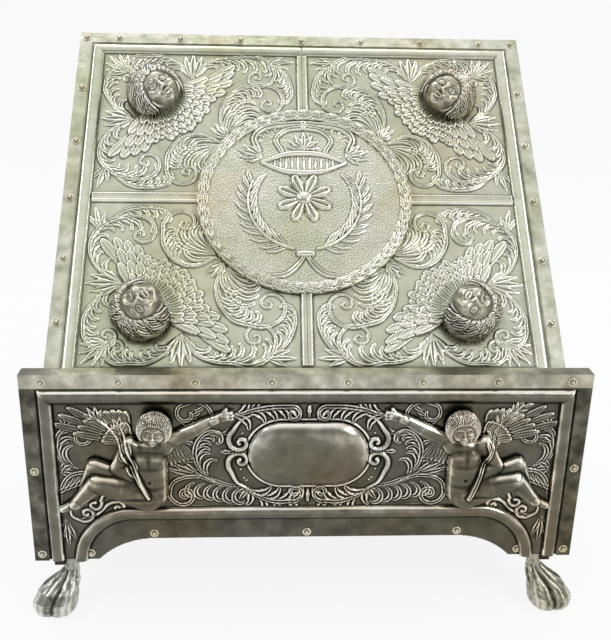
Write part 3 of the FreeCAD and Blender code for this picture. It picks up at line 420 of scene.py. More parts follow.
class Graph:
    """Shader nodes of a material or of the world."""

    def __init__(self, owner):
        owner.use_nodes = True
        self.nodes = owner.node_tree.nodes
        self.link = owner.node_tree.links.new

    def add(self, kind, **values):
        """New node with some of its inputs set; an underscore stands for a space in an input's name."""
        node = self.nodes.new("ShaderNode" + kind)
        for name, value in values.items():
            node.inputs[name.replace("_", " ")].default_value = value
        return node

    def cloud(self, scale, detail=3.0, rough=0.55):
        """Noise in the stand's own coordinates; scale is per metre."""
        spots = self.add("TexNoise", Scale=scale, Detail=detail, Roughness=rough)
        self.link(self.add("TexCoord").outputs["Object"], spots.inputs["Vector"])
        return spots.outputs["Fac"]

    def math(self, kind, *values):
        """Sum or product of sockets and numbers."""
        node = self.add("Math")
        node.operation = kind
        for socket, value in zip(node.inputs, values):
            if isinstance(value, (int, float)):
                socket.default_value = value
            else:
                self.link(value, socket)
        return node.outputs[0]

    def ramp(self, factor, stops):
        """Colour ramp of (place, colour) stops."""
        node = self.add("ValToRGB")
        while len(node.color_ramp.elements) < len(stops):
            node.color_ramp.elements.new(0.5)
        for element, (place, colour) in zip(node.color_ramp.elements, stops):
            element.position = place
            element.color = (*colour, 1)
        self.link(factor, node.inputs["Fac"])
        return node.outputs["Color"]

    def stained(self, colour, spots, low, high, tint):
        """Colour multiplied by a tint where the spots rise from low to high."""
        mix = self.add("Mix")
        mix.data_type = "RGBA"
        mix.blend_type = "MULTIPLY"
        self.link(self.ramp(spots, ((low, (0, 0, 0)), (high, (1, 1, 1)))), mix.inputs["Factor"])
        self.link(colour, mix.inputs[6])
        mix.inputs[7].default_value = (*tint, 1)
        return mix.outputs[2]

    def dented(self, shader, height, depth):
        """Bump on top of those that a shader has; depth in millimetres."""
        bump = self.add("Bump", Strength=1.0, Distance=depth * MM)
        self.link(height, bump.inputs["Height"])
        for below in tuple(shader.inputs["Normal"].links):
            self.link(below.from_socket, bump.inputs["Normal"])
        self.link(bump.outputs["Normal"], shader.inputs["Normal"])


def new_look(name):
    """New material with its graph and shader."""
    material = bpy.data.materials.new(name)
    graph = Graph(material)
    return material, graph, graph.nodes["Principled BSDF"]


def silver(name, stops, stain, rough, by_wear_and_light=True):
    """Tarnished silver with stains and dents: coloured from the wear-and-light map, bright on its ridges
    from rubbing and a painted highlight, dark in its grooves from tarnish and painted shade; or mottled all
    over.
    """
    material, graph, shader = new_look(name)
    mottle = graph.cloud(95, 5)
    if by_wear_and_light:
        wear_and_light = graph.add("Attribute")
        wear_and_light.attribute_name = "wear_and_light"
        spread = graph.math("MULTIPLY_ADD", mottle, MOTTLE_WORN, -MOTTLE_WORN / 2)
        factor = graph.math("ADD", wear_and_light.outputs["Fac"], spread)
    else:
        factor = graph.math("MULTIPLY_ADD", mottle, MOTTLE_PLAIN, 0.02)
    colour = graph.ramp(factor, stops)
    colour = graph.stained(colour, graph.cloud(16, 4, 0.6), 0.42, 0.66, stain)
    colour = graph.stained(colour, graph.cloud(9, 3, 0.6), 0.5, 0.72, WARM_STAIN)
    graph.link(colour, shader.inputs["Base Color"])
    shader.inputs["Metallic"].default_value = 1.0
    gloss = graph.add("MapRange", To_Min=rough[0], To_Max=rough[1])
    graph.link(factor, gloss.inputs["Value"])
    graph.link(gloss.outputs["Result"], shader.inputs["Roughness"])
    for scale, depth in FINE_DENTS if by_wear_and_light else DEEP_DENTS:
        graph.dented(shader, graph.cloud(scale), depth)
    return material


def wood(name):
    """Dark stained wood with grain along its length."""
    material, graph, shader = new_look(name)
    stretch = graph.add("Mapping", Scale=(12, 160, 160))
    graph.link(graph.add("TexCoord").outputs["Object"], stretch.inputs["Vector"])
    grain = graph.add("TexNoise", Scale=1.0, Detail=6, Distortion=0.6)
    graph.link(stretch.outputs["Vector"], grain.inputs["Vector"])
    graph.link(graph.ramp(grain.outputs["Fac"], WOOD_STOPS), shader.inputs["Base Color"])
    shader.inputs["Roughness"].default_value = 0.55
    graph.dented(shader, grain.outputs["Fac"], 0.25)
    return material


# Colours from groove to ridge: tarnish and painted shade in the grooves, rubbed metal and painted
# highlights on the ridges.
DESK_STOPS = ((0.06, (0.135, 0.145, 0.110)), (0.28, (0.40, 0.41, 0.325)), (0.46, (0.59, 0.60, 0.49)),
              (0.80, (0.92, 0.915, 0.85)))
FRONT_STOPS = ((0.10, (0.012, 0.013, 0.010)), (0.38, (0.070, 0.070, 0.056)), (0.60, (0.180, 0.176, 0.145)),
               (0.72, (0.46, 0.45, 0.39)), (0.88, (0.94, 0.93, 0.87)))
HEAD_STOPS = ((0.10, (0.04, 0.043, 0.034)), (0.34, (0.24, 0.24, 0.195)), (0.50, (0.50, 0.49, 0.41)),
              (0.78, (0.94, 0.93, 0.87)))
CAST_STOPS = ((0.08, (0.02, 0.023, 0.018)), (0.34, (0.15, 0.157, 0.13)), (0.56, (0.46, 0.47, 0.42)),
              (0.88, (0.93, 0.93, 0.90)))
EDGE_STOPS = ((0.15, (0.14, 0.14, 0.11)), (0.45, (0.41, 0.40, 0.33)), (0.75, (0.78, 0.77, 0.67)))
BRASS_STOPS = ((0.1, (0.05, 0.045, 0.03)), (0.45, (0.36, 0.33, 0.24)), (0.85, (0.88, 0.86, 0.72)))
WOOD_STOPS = ((0.3, (0.016, 0.010, 0.007)), (0.55, (0.055, 0.034, 0.022)), (0.75, (0.095, 0.062, 0.040)))
WARM_STAIN = (0.95, 0.86, 0.74)
MOTTLE_WORN = 0.35
MOTTLE_PLAIN = 0.9
# Noise scale per metre and depth in millimetres of the dents in embossed and in plain sheet.
FINE_DENTS = ((1500, 0.03), (220, 0.1))
DEEP_DENTS = ((1500, 0.03), (160, 0.3), (45, 1.2))

desk_silver = silver("desk_silver", DESK_STOPS, (0.84, 0.87, 0.76), (0.30, 0.15))
front_silver = silver("front_silver", FRONT_STOPS, (0.97, 0.90, 0.81), (0.30, 0.17))
cast_silver = silver("cast_silver", CAST_STOPS, (0.82, 0.84, 0.76), (0.36, 0.16))
head_silver = silver("head_silver", HEAD_STOPS, (0.88, 0.84, 0.74), (0.34, 0.24))
strip_silver = silver("strip_silver", DESK_STOPS, (0.76, 0.78, 0.64), (0.42, 0.26), by_wear_and_light=False)
edge_silver = silver("edge_silver", EDGE_STOPS, (0.86, 0.80, 0.68), (0.38, 0.24), by_wear_and_light=False)
side_silver = silver("side_silver", FRONT_STOPS, (0.9, 0.82, 0.72), (0.4, 0.28), by_wear_and_light=False)
brass = silver("nail_brass", BRASS_STOPS, (0.85, 0.82, 0.7), (0.4, 0.2))
dark_wood = wood("dark_wood")


# Desk quarters

HEAD = np.array((39.5, 38.0))
# Rows of feathers from the outer one inwards: reach, more of it at the wing tips, and count.
FEATHER_ROWS = ((38.5, 22, 20), (34, 15, 18), (29.5, 8, 16), (25, 3, 14))


def feather_ruff(field):
    """Two wings round the head: rows of small round feathers that lengthen to a point at both ends."""
    draw = np.random.default_rng(5)
    middle, half = 46, 74
    for k, (near, more, count) in enumerate(FEATHER_ROWS):
        shares = np.linspace(-1, 1, count) + (0.5 * (k % 2)) * 2 / (count - 1)
        for share in sorted(shares[shares <= 1], key=lambda s: -abs(s)):
            angle = middle + half * share * (1 - 0.03 * k) + draw.uniform(-1.9, 1.9)
            reach = near + more * smoothstep(0.45, 1.0, abs(share)) + draw.uniform(-1.4, 1.4)
            lean = math.copysign(4.5 * smoothstep(0.4, 1, abs(share)), share)
            base = HEAD + ray(angle - lean) * (reach - 15 - 8 * smoothstep(0.5, 1, abs(share)))
            tip = HEAD + ray(angle) * reach
            field.feather(base, tip, 6.9 - 0.3 * k, 0.4 + 0.5 * k, 0.9, barbs=1.8)


def acanthus(field, path, first, last, count, lengths, hand, turn, width, height):
    """Leafy scroll: hooked lobes along one side of a stem, and the ridged stem on top."""
    field.fronds(path, first, last, count, lengths, hand * 13, hand * turn, width, height, hook=2.2)
    field.stroke(path, 3.8, height * 1.3, start=0.5, end=0.5, ridges=2)


def desk_ornament(field):
    """Leaf scrolls of one quarter, from the outer corner of its field."""
    top = volute([(61, 19), (54, 9), (43, 2.8), (31, 2.6)], (24.5, 13), -1.45, 1.3)
    left = volute([(21, 55), (10, 47), (3.2, 35), (3, 26)], (17.5, 21.5), 1.35, 1.3)
    for path, hand in ((top, -1), (left, 1)):
        acanthus(field, path, 0.02, 0.5, 7, (15, 18), hand, 120, 5.0, 1.2)
    field.fan((18, 17), 225, 105, (13, 16, 18, 20, 18, 16, 13), 4.8, 1.2, bend=18)
    for base, aim in (((64, 22), 270), ((24, 58), 180)):
        field.fan(base, aim, 80, (17, 20, 22, 20, 17), 7.0, 1.4, bend=-16)
    scroll = volute([(67, 20), (73, 9), (84, 3.8), (97, 2.6)], (110, 20), 1.75, 1.4)
    acanthus(field, scroll, 0.02, 0.4, 8, (18, 25), 1, 125, 5.2, 1.3)
    inner_leaf = smooth([(118, 8), (127, 13), (133, 23), (135, 34), (132, 42), (127, 41)])
    acanthus(field, inner_leaf, 0.02, 0.75, 7, (19, 12), 1, 120, 5.0, 1.3)
    field.fan((117, 6), 0, 44, (13, 19, 16), 5.0, 1.1)
    arch = volute([(88, 70), (84.5, 57), (87, 43), (96, 32), (108, 28)], (118, 43.5), 1.55, 1.3)
    for i in range(1, 7):
        field.lobe(curl((88.5 + 0.7 * i, 69), -98 + 11 * i, 44 - 4.2 * i, 120, hook=2.4), 6.0, 1.2)
    acanthus(field, arch, 0.0, 0.4, 7, (30, 17), 1, 150, 5.4, 1.3)
    drop = volute([(84, 77), (71, 70.5), (58, 74), (50, 86), (49, 97)], (63, 102), -1.55, 1.3)
    for i in range(1, 7):
        field.lobe(curl((83, 79 + 0.7 * i), 188 - 11 * i, 42 - 4.0 * i, -120, hook=2.4), 6.0, 1.2)
    acanthus(field, drop, 0.0, 0.4, 7, (29, 17), -1, 150, 5.4, 1.3)
    field.fan((90, 73), 222, 70, (10, 14, 14, 10), 5.0, 1.2, bend=-20)
    outer = volute([(21, 60), (9, 68), (3, 80), (4, 93), (13, 103), (25, 107)], (35, 94), -1.5, 1.3)
    acanthus(field, outer, 0.02, 0.55, 9, (18, 24), -1, 125, 5.2, 1.3)
    low_leaf = smooth([(13, 103), (24, 112), (38, 114.5), (50, 112), (53, 106)])
    acanthus(field, low_leaf, 0.1, 0.85, 6, (16, 11), -1, 120, 4.8, 1.2)
    field.fan((8, 97), 104, 50, (13, 18, 15), 5.0, 1.1)


def half_round(distance, width, height):
    """Section of a bead at a distance from its middle line, with a groove at its foot."""
    half = width / 2
    return height * half_circle(distance / half) - 0.35 * bell((distance - half - 0.4) / 0.5)


QUARTER_MARGIN = 20.2
QUARTER_WIDE = FIELD_EDGE
QUARTER_TALL = FIELD_TOP - MEDAL_S
WREATH_MIDDLE = 68.25
WREATH_WIDE = 8.4
WREATH_TALL = 2.2
WREATH_LEAVES = 43
DISC_RADIUS = 66.5
QUARTER_HOLE = 69.0
PAINTED_SHADE_RIM = 73.5
PUNCH_PITCH = 1.5
PUNCH_RADIUS = 0.5
PUNCH_DEPTH = 0.3


def desk_quarter():
    """Height map of a quarter of the desk: edge, frame bead, ornament, feathers and half of two bands."""
    field = Relief((-QUARTER_MARGIN, -QUARTER_MARGIN), (QUARTER_WIDE, QUARTER_TALL), 0.45)
    desk_ornament(field)
    feather_ruff(field)
    a, b = field.grid()
    waves, ripple = noise(field.h.shape, 14, 3), noise(field.h.shape, 5, 4)
    inside = np.minimum(np.minimum(a, b), np.minimum(QUARTER_WIDE - 4 - a, QUARTER_TALL - 4 - b))
    h = field.h * smoothstep(0.0, 1.4, inside) + 0.22 * waves * smoothstep(0, 6, inside)
    edge = np.abs(np.minimum(a, b) + BEAD / 2 + 0.15 * waves)
    h = np.maximum(h, half_round(edge, BEAD, BEAD_HEIGHT * 0.6) * (1 + 0.2 * waves + 0.08 * ripple))
    band = np.minimum(QUARTER_WIDE - a, QUARTER_TALL - b) + 0.1 * waves
    raised = 1.5 * (1 - smoothstep(3.0, 4.3, band)) - 0.3 * bell((band - 4.8) / 0.5)
    raised += 0.25 * bell((band - 2.6) / 0.5)
    return field, np.where((np.minimum(a, b) > 0.5) & (band < 6), np.maximum(raised, h * (band > 4.6)), h)


def desk_quarters():
    """Four embossed quarters that stand for the desk's sheet and wings."""
    field, h = desk_quarter()
    a, b = field.grid()
    # Painted shade: darker round each head, along the inner edge of the frame bead and in a ring next to
    # the wreath.
    painted_shade = 0.22 * bell((np.hypot(a - HEAD[0], b - HEAD[1]) - 19) / 5)
    painted_shade += 0.16 * bell(np.minimum(a, b) / 2.4)
    painted_shade += 0.16 * bell((np.hypot(QUARTER_WIDE - a, QUARTER_TALL - b) - PAINTED_SHADE_RIM) / 2.4)
    wear_and_light = np.clip(wear_and_light_of(h, field.step) - painted_shade, 0, 1)
    inside = smoothstep(0, 20, np.minimum(np.minimum(a, b), np.minimum(QUARTER_WIDE - a, QUARTER_TALL - b)))
    for seed, (name, side, rise) in enumerate(CORNERS):
        sway = [1.1 * noise(h.shape, 34, 10 * seed + k) * inside for k in (11, 12)]
        dent = 0.35 * noise(h.shape, 22, 10 * seed + 13) * inside
        u = side * (FIELD_EDGE - (a + sway[0]))
        s = FIELD_TOP - (b + sway[1]) if rise > 0 else FIELD_LOW + b + sway[1]
        points = np.stack((u, s, SHEET + h + dent), -1)
        limit = DESK_LONG - 0.2 if rise > 0 else SETBACK + 0.2
        keep = (np.abs(u) < DESK_HALF - 0.2) & ((limit - s) * rise > 0)
        keep &= np.hypot(u, s - MEDAL_S) > QUARTER_HOLE
        # The lower quarters are painted a little lighter, as if more brightly lit.
        quarter_wear_and_light = wear_and_light if rise > 0 else np.clip(wear_and_light + 0.04, 0, 1)
        piece = surface(f"desk_quarter_{name}", DESK, points, 0.05, quarter_wear_and_light, keep, flip=side * rise < 0)
        wings = (f"wing_{name}_inner", f"wing_{name}_outer")
        dressed(piece, desk_silver, "desk_silver", "desk_sheet", *wings)


# Roundel

def crown_relief(field):
    """Open crown over the rosette: band, bows, fleuron and side leaves."""
    for side in (-1, 1):
        outer = smooth([(side * 31, 38), (side * 34, 49), (side * 24, 58), (0, 61)])
        field.fronds(outer, 0.1, 0.8, 6, (6, 6), side * 40, side * 60, 2.6, 1.0)
        field.stroke(outer, 5.6, 2.0, ridges=2)
        inner = smooth([(side * 15, 37.5), (side * 19, 47), (side * 12, 55), (0, 57.5)])
        field.stroke(inner, 4.2, 1.8, ridges=2)
        field.fan((side * 29, 33), 90 - side * 70, 90, (11, 16, 17, 15, 11), 5.6, 1.6, bend=side * 20)
    field.fan((0, 39.5), 90, 150, (11, 12, 13, 14, 13, 12, 11), 5.0, 1.8, bend=24)
    rim = ((-29, 0), (-14, 6.5), (0, 8), (14, 6.5), (29, 0))
    for rise in (1, -1):
        band = smooth([(x, 28 + rise * offset) for x, offset in rim])
        field.stroke(band, 4.4, 2.4, start=0.5, end=0.5)
    for i in range(11):
        x = -20 + 4 * i
        sag = 5.2 * (1 - (x / 29) ** 2)
        field.stroke([(x, 28 - sag), (x, 28 + sag)], 1.6, 0.7, start=0.6, end=0.6)


def palm_relief(field):
    """Two palm branches with a tie, and an eight-petalled rosette between them."""
    bow = 38 * ray(np.linspace(-78, 24, 30)) - (0, 2)
    for side in (-1, 1):
        stem = bow * (side, 1)
        for lean, length in ((36, 15), (-42, 13)):
            lengths = (length, length * 0.8)
            field.fronds(stem, 0.04, 0.97, 11, lengths, side * lean, side * -lean * 0.35, 4.4, 1.5)
        field.stroke(stem, 2.2, 1.7, ridges=1, start=1, end=0.5)
        foot = smooth([(0, -43), (side * 5, -51), (side * 13, -58), (side * 24, -60)])
        field.stroke(foot, 4.6, 1.9, start=0.6, end=0.8, ridges=2)
    for i in range(8):
        tip = ray(45 * i + 22.5)
        field.stroke([tip * 5, tip * 16.5], 9.6, 2.2, start=0.5, end=0.75, ridges=2, top=0.75)
    field.stroke([(-0.1, 0), (0.1, 0)], 11, 3.2)
    field.stroke([(-4.5, -43), (4.5, -43)], 5.2, 2.6, start=0.8, end=0.8, ridges=1)


def punch_marks(x, y, seed):
    """Distance to the nearest of many punch marks, scattered round a square lattice."""
    col, row = (np.floor(part / PUNCH_PITCH).astype(int) for part in (x, y))
    size = 2 * int(np.abs(np.stack((col, row))).max()) + 5
    jitter = np.random.default_rng(seed).uniform(0.05, 0.95, (2, size, size))
    nearest = np.full(x.shape, np.inf)
    for i in (-1, 0, 1):
        for j in (-1, 0, 1):
            sway = jitter[:, row + j, col + i]
            dx = (col + i + sway[0]) * PUNCH_PITCH - x
            dy = (row + j + sway[1]) * PUNCH_PITCH - y
            nearest = np.minimum(nearest, np.hypot(dx, dy))
    return nearest


def roundel():
    """Punched disc with its crown, palms and rosette, inside a laurel wreath."""
    field = Relief((-67, -67), (67, 67), 0.42)
    crown_relief(field)
    palm_relief(field)
    x, y = field.grid()
    bare = np.clip(1 - np.abs(field.h) / 0.3, 0, 1)
    pits = bell(punch_marks(x, y, 41) / PUNCH_RADIUS)
    h = field.h - PUNCH_DEPTH * pits * bare + 0.4 * noise(field.h.shape, 26, 42)
    points = np.stack((x, y + MEDAL_S, PLATE + h), -1)
    wear_and_light = np.clip(wear_and_light_of(h, field.step) + 0.06, 0, 1)
    piece = surface("medallion_disc", DESK, points, SHEET + 0.05, wear_and_light, np.hypot(x, y) < DISC_RADIUS)
    nodes = [f"medallion_{part}" for part in ("plate", "rosette", "palms", "palm_tie", "crown")]
    dressed(piece, desk_silver, "desk_silver", *nodes)


def wreath():
    """Laurel wreath: overlapping leaves in threes round a half-round ring."""
    half, turn = WREATH_WIDE / 2, 2 * math.pi * WREATH_MIDDLE
    field = Relief((0, -half), (turn, half), 0.42)
    leaf = {"end": 0.1, "ridges": 2, "top": 0.5, "rim": 0.4}
    for k in range(-1, WREATH_LEAVES + 1):
        start = k * turn / WREATH_LEAVES
        for lean in (-1, 1):
            path = smooth([(start, lean * 0.4), (start + 5, lean * 2.5), (start + 12, lean * 2.8)])
            field.stroke(path, 4.4, 1.6, start=0.35, **leaf)
        field.stroke([(start + 4, 0), (start + 14, 0)], 4.0, 2.1, start=0.4, **leaf)
    along, across = field.grid()
    body = WREATH_TALL * half_circle(across / half)
    h = body + field.h * smoothstep(0, 1.0, half - np.abs(across))
    h = np.pad(h, ((1, 1), (0, 0)), constant_values=SHEET - PLATE)
    along, across = (np.vstack((part[:1], part, part[-1:])) for part in (along, across))
    angle = along * (2 * math.pi / (along[0, -1] + field.step))
    reach = WREATH_MIDDLE + across
    points = np.stack((reach * np.cos(angle), MEDAL_S + reach * np.sin(angle), PLATE + h), -1)
    chart = np.stack((along, across), -1)
    wear_and_light = wear_and_light_of(h, field.step)
    piece = surface("medallion_laurel", DESK, points, None, wear_and_light, flip=True, wrap=(True, True), chart=chart)
    dressed(piece, desk_silver, "desk_silver", "medallion_wreath")


# Heads

FACE_RADIUS = 17.5
HEAD_HALF = (17.0, 18.6, 15.0)
JAW_TAPER = 2.6
HEAD_LIFT = 4.0
# Soft forms of a face as (place, spread, height): forehead, nose tip, lip groove, chin groove and chin.
FACE_MIDDLE = (((0, 8), (9, 5), 0.7), ((0, -4.5), (2.0, 1.5), 1.4), ((0, -7.0), (2.8, 0.8), -0.4),
               ((0, -12.4), (3, 1.0), -0.5), ((0, -14.8), (3.8, 2.6), 1.8))
# On both sides: brow, eye socket, cheek, wing of the nose, nostril and corner of the mouth.
FACE_SIDES = (((5.8, 4.4), (3.8, 1.5), 0.7), ((6.0, 0.6), (4.2, 2.6), -1.4), ((8.2, -6.0), (4.8, 4.2), 2.1),
              ((2.0, -5.2), (1.2, 1.1), 1.1), ((1.0, -6.1), (0.6, 0.5), -0.5),
              ((4.8, -9.6), (1.2, 1.2), -0.5))


def bump(p, q, at, spread, amount):
    """Soft rise or hollow at a place of a face."""
    return amount * bell((p - at[0]) / spread[0]) * bell((q - at[1]) / spread[1])


def face_height(p, q):
    """Round child's face about the bridge of the nose, eyes closed; p to its left, q up."""
    h = sum(bump(p, q, *form) for form in FACE_MIDDLE)
    for side in (-1, 1):
        h += sum(bump(side * p, q, *form) for form in FACE_SIDES)
        h += 1.3 * half_circle(np.hypot((p - side * 6.0) / 3.4, (q - 0.2) / 2.3))
    bridge = np.interp(q, (-4.5, 3.5), (2.3, 0.7)) * bell(p / 1.9)
    return h + bridge * smoothstep(-5.8, -3.8, q) * (1 - smoothstep(2, 5.5, q))


def face_lines(lines):
    """Eyelids, brows and lips."""
    for s in (-1, 1):
        lid = smooth([(s * 2.8, 0.2), (s * 4.4, -1.0), (s * 6.2, -1.5), (s * 8.2, -0.9), (s * 9.4, 0.3)])
        lines.stroke(lid, 1.1, 0.55, start=0.6, end=0.6, rim=0.3, moat=0.7)
        brow = smooth([(s * 2.2, 4.6), (s * 5.6, 5.8), (s * 9.8, 4.0)])
        lines.stroke(brow, 1.3, 0.4, start=0.8, end=0.3, rim=0.1)
    upper = [(-3.8, -9.2), (-1.8, -8.4), (-0.7, -8.0), (0, -8.3), (0.7, -8.0), (1.8, -8.4), (3.8, -9.2)]
    lines.stroke(smooth(upper), 1.8, 1.0, start=0.3, end=0.3, top=0.5, rim=0.2)
    lower = [(-3.0, -9.9), (-1.3, -10.7), (1.3, -10.7), (3.0, -9.9)]
    lines.stroke(smooth(lower), 2.2, 1.15, start=0.4, end=0.4, rim=0.2)


def hairline(around):
    """Distance of the hairline from the middle of the face, by the angle round it."""
    return np.interp(around, (-60, -30, 10, 60, 90), (19, 16, 12.8, 10.6, 9.4))


def hair_lines(lines, reach, sweep, combed):
    """Wavy locks on both sides, swept back from the hairline or combed down to it from the crown."""
    share = np.linspace(0, 1, 40)
    for side in (-1, 1):
        for j in range(13):
            start = 92 - (92 - reach) * j / 12
            if combed:
                radius = 26 - (26.5 - hairline(start)) * share + 0.9 * np.sin(7 * share + 1.9 * j)
                turn = 90 - (90 - start + sweep * j / 12) * share ** 0.75
            else:
                radius = hairline(start) - 0.8 + share * (30.5 - hairline(start))
                turn = start - sweep * share ** 1.3 + 5 * np.sin(9 * share + 2.1 * j)
            path = radius[:, None] * ray(turn) * (side, 1)
            lines.stroke(path, 4.2, 1.8 + 0.5 * (j % 3), start=0.45, end=0.7, ridges=2, rim=0.6)


def head_shape(reach, sweep, nod=0.0, painted_shade=0.3, combed=False):
    """Head in relief, its crown towards +Y and sunk by a nod in degrees: points, wear with painted light,
    mask and chart.
    """
    lines = Relief((-30, -30), (30, 30), 0.4)
    hair_lines(lines, reach, sweep, combed)
    p, q = lines.grid()
    around = np.degrees(np.arctan2(q, np.abs(p)))
    span = np.hypot(p, q)
    cap = smoothstep(-0.5, 1.2, span - hairline(around))
    cap *= smoothstep(reach - sweep - 8, reach - sweep / 2, around)
    lines.h *= cap
    face_lines(lines)
    h = face_height(p, q) * (1 - cap) + lines.h + (0.7 if combed else 1.6) * cap
    theta = span / FACE_RADIUS
    unit = np.sin(theta) / np.maximum(span, 1e-6)
    dx, dy, dz = p * unit, q * unit, np.cos(theta)
    wide, tall, deep = HEAD_HALF
    wide = wide - JAW_TAPER * smoothstep(0.1, 0.9, -dy)
    radius = 1 / np.sqrt((dx / wide) ** 2 + (dy / tall) ** 2 + (dz / deep) ** 2) + h
    c, s = ray(nod)
    y, z = dy * radius, dz * radius
    points = np.stack((dx * radius, c * y + s * z, c * z - s * y + HEAD_LIFT), -1)
    jaw = np.interp(around, (-90, -50, -10), (18.5, 21, 29.6))
    inside = (span < jaw) & (points[..., 2] > 0.2)
    # Painted shade on the steep sides of the head, darker towards its edge.
    wear_and_light = wear_and_light_of(h, lines.step) - painted_shade * smoothstep(0.7, 1.35, theta)
    return points, wear_and_light + (0.52 - wear_and_light) * 0.4 * (1 - cap), inside, np.stack((p, q), -1)


def set_head(name, shape, place, material, slot, *nodes, painted_highlight=0.0):
    """One head at a place, painted brighter all over by a share as a painted highlight."""
    points, wear_and_light, inside, chart = shape
    piece = surface(name, place, points, 0.0, np.clip(wear_and_light + painted_highlight, 0, 1), inside, chart=chart)
    dressed(piece, material, slot, *nodes)


def cherub_heads():
    """Four heads on the desk, chins towards the roundel."""
    shapes = {1: head_shape(-20, 42, nod=-14), -1: head_shape(-20, 42, nod=16)}
    across, along = FIELD_EDGE - HEAD[0], FIELD_TOP - MEDAL_S - HEAD[1]
    for name, side, rise in CORNERS:
        outward = math.degrees(math.atan2(rise * along, side * across))
        place = DESK.moved(side * across, MEDAL_S + rise * along, SHEET, outward - 90)
        set_head(f"cherub_head_{name}", shapes[rise], place, head_silver, "desk_silver", f"cherub_{name}")


# Front

ARCH_T = 92.5
ARCH_BEND = 107.5
ARCH_ROUND = 33.5
BOSS_FLAT = 15.6
BOSS_ROUND = 21.4
BOSS_T = 51.1
BOSS_TALL = 7.2
FRAME_INSET = 13.4
# Lower edge of the front: its level in the middle, where it bends down, its radius, and the leg's inside.
EDGE_T = 111.0
EDGE_BEND = 95.2
EDGE_ROUND = 48.33
LEG_X = 130.2
SHOULDER = np.array((106, 44))


def cartouche_relief(f):
    """Half of the scrolled frame round the boss."""
    top = volute([(48, 25.5), (41, 24.5), (33, 21.6), (22, 19.6), (12, 19.4)], (9.8, 25), -1.25, 1.3)
    f.fronds(top, 0.05, 0.5, 4, (13, 13), 16, 80, 7.0, 2.5)
    f.fronds(top, 0.02, 0.55, 5, (15, 14), -16, -85, 7.4, 2.8)
    f.stroke(top, 4.6, 3.2, start=0.5, end=0.6, ridges=2)
    low = volute([(38, 75), (31, 80.5), (20, 84.2), (11, 84)], (8.2, 78), 1.25, 1.3)
    f.fronds(low, 0.0, 0.45, 4, (13, 13), -16, -80, 7.0, 2.5)
    f.fronds(low, 0.02, 0.5, 4, (15, 14), 16, 85, 7.4, 2.8)
    f.stroke(low, 4.6, 3.2, start=0.5, end=0.6, ridges=2)
    upper_side = volute([(33, 24.5), (41, 29), (46, 36)], (41, 43.8), 1.25, 1.2)
    lower_side = volute([(36, 76), (43.5, 71), (47.5, 63)], (41, 56.2), -1.25, 1.2)
    for path in (upper_side, lower_side):
        f.stroke(path, 4.6, 2.6, start=0.4, end=0.8)
    f.fan((45.5, 50), 0, 110, (6, 8.5, 6), 4.6, 2.0, bend=20)
    f.fan((36.5, 75), 55, 60, (8, 11, 9), 4.6, 2.0)
    for x, t in ((37.5, 31), (35.5, 32.6), (40, 37.5), (41, 62), (39, 68), (37.6, 69.6)):
        f.stroke([(x, t), (x + 0.3, t + 0.3)], 1.7, 1.0)
    f.stroke([(0, 20), (0, 27)], 4.0, 2.2, start=0.7, end=0.4)
    f.stroke([(0, 76), (0, 84)], 4.0, 2.2, start=0.4, end=0.7)


def plume_relief(f):
    """Leaf scrolls between the cartouche and the figure."""
    stem = smooth([(38, 75), (50, 73), (60, 69), (72, 62), (87, 57)])
    f.fan((64, 67), -20, 36, (20, 25, 25, 20), 4.8, 1.8)
    f.stroke(stem, 5.2, 1.9, start=0.5, end=0.3, ridges=3)
    plume = smooth([(61, 68), (67, 60), (69, 50), (66, 41), (59, 36), (53, 38.5), (53, 43)])
    f.fronds(plume, 0.02, 0.86, 5, (9, 7), 30, 100, 4.4, 1.7, hook=2)
    f.fronds(plume, 0.0, 0.8, 7, (17, 11), -18, -130, 5.4, 2.0, hook=2.1)
    f.stroke(plume, 4.4, 2.2, start=0.5, end=0.7, ridges=2)
    tendril = volute([(58, 70), (66, 67), (76, 67.5), (83, 71.5), (85, 79)], (75.5, 79.5), 1.45, 1.4)
    f.stroke(tendril, 3.6, 1.9, ridges=2)
    for k in range(6):
        f.lobe(curl((40 + 6.0 * k, 75.0 - 0.7 * k), 22, 19 - 0.7 * k, 190, hook=1.4), 5.2, 2.0)
    f.stroke(smooth([(36, 85), (52, 88), (66, 87.4), (78, 87)]), 1.6, 0.7)
    loop = volute([(62, 31), (58.5, 25), (62, 19), (69, 17.2), (77, 19.5)], (73.5, 25), 0.7, 3)
    f.stroke(loop, 3.2, 1.8, ridges=2)
    f.fronds(smooth([(80, 30), (73, 27), (69, 22)]), 0.1, 0.9, 4, (8, 8), -50, 70, 4.0, 1.6)
    for k in range(6):
        f.feather((85 - 1.5 * k, 38 + 1.2 * k), (83 - 2.6 * k, 59 - 0.9 * k), 4.4, 0.3, 0.9)


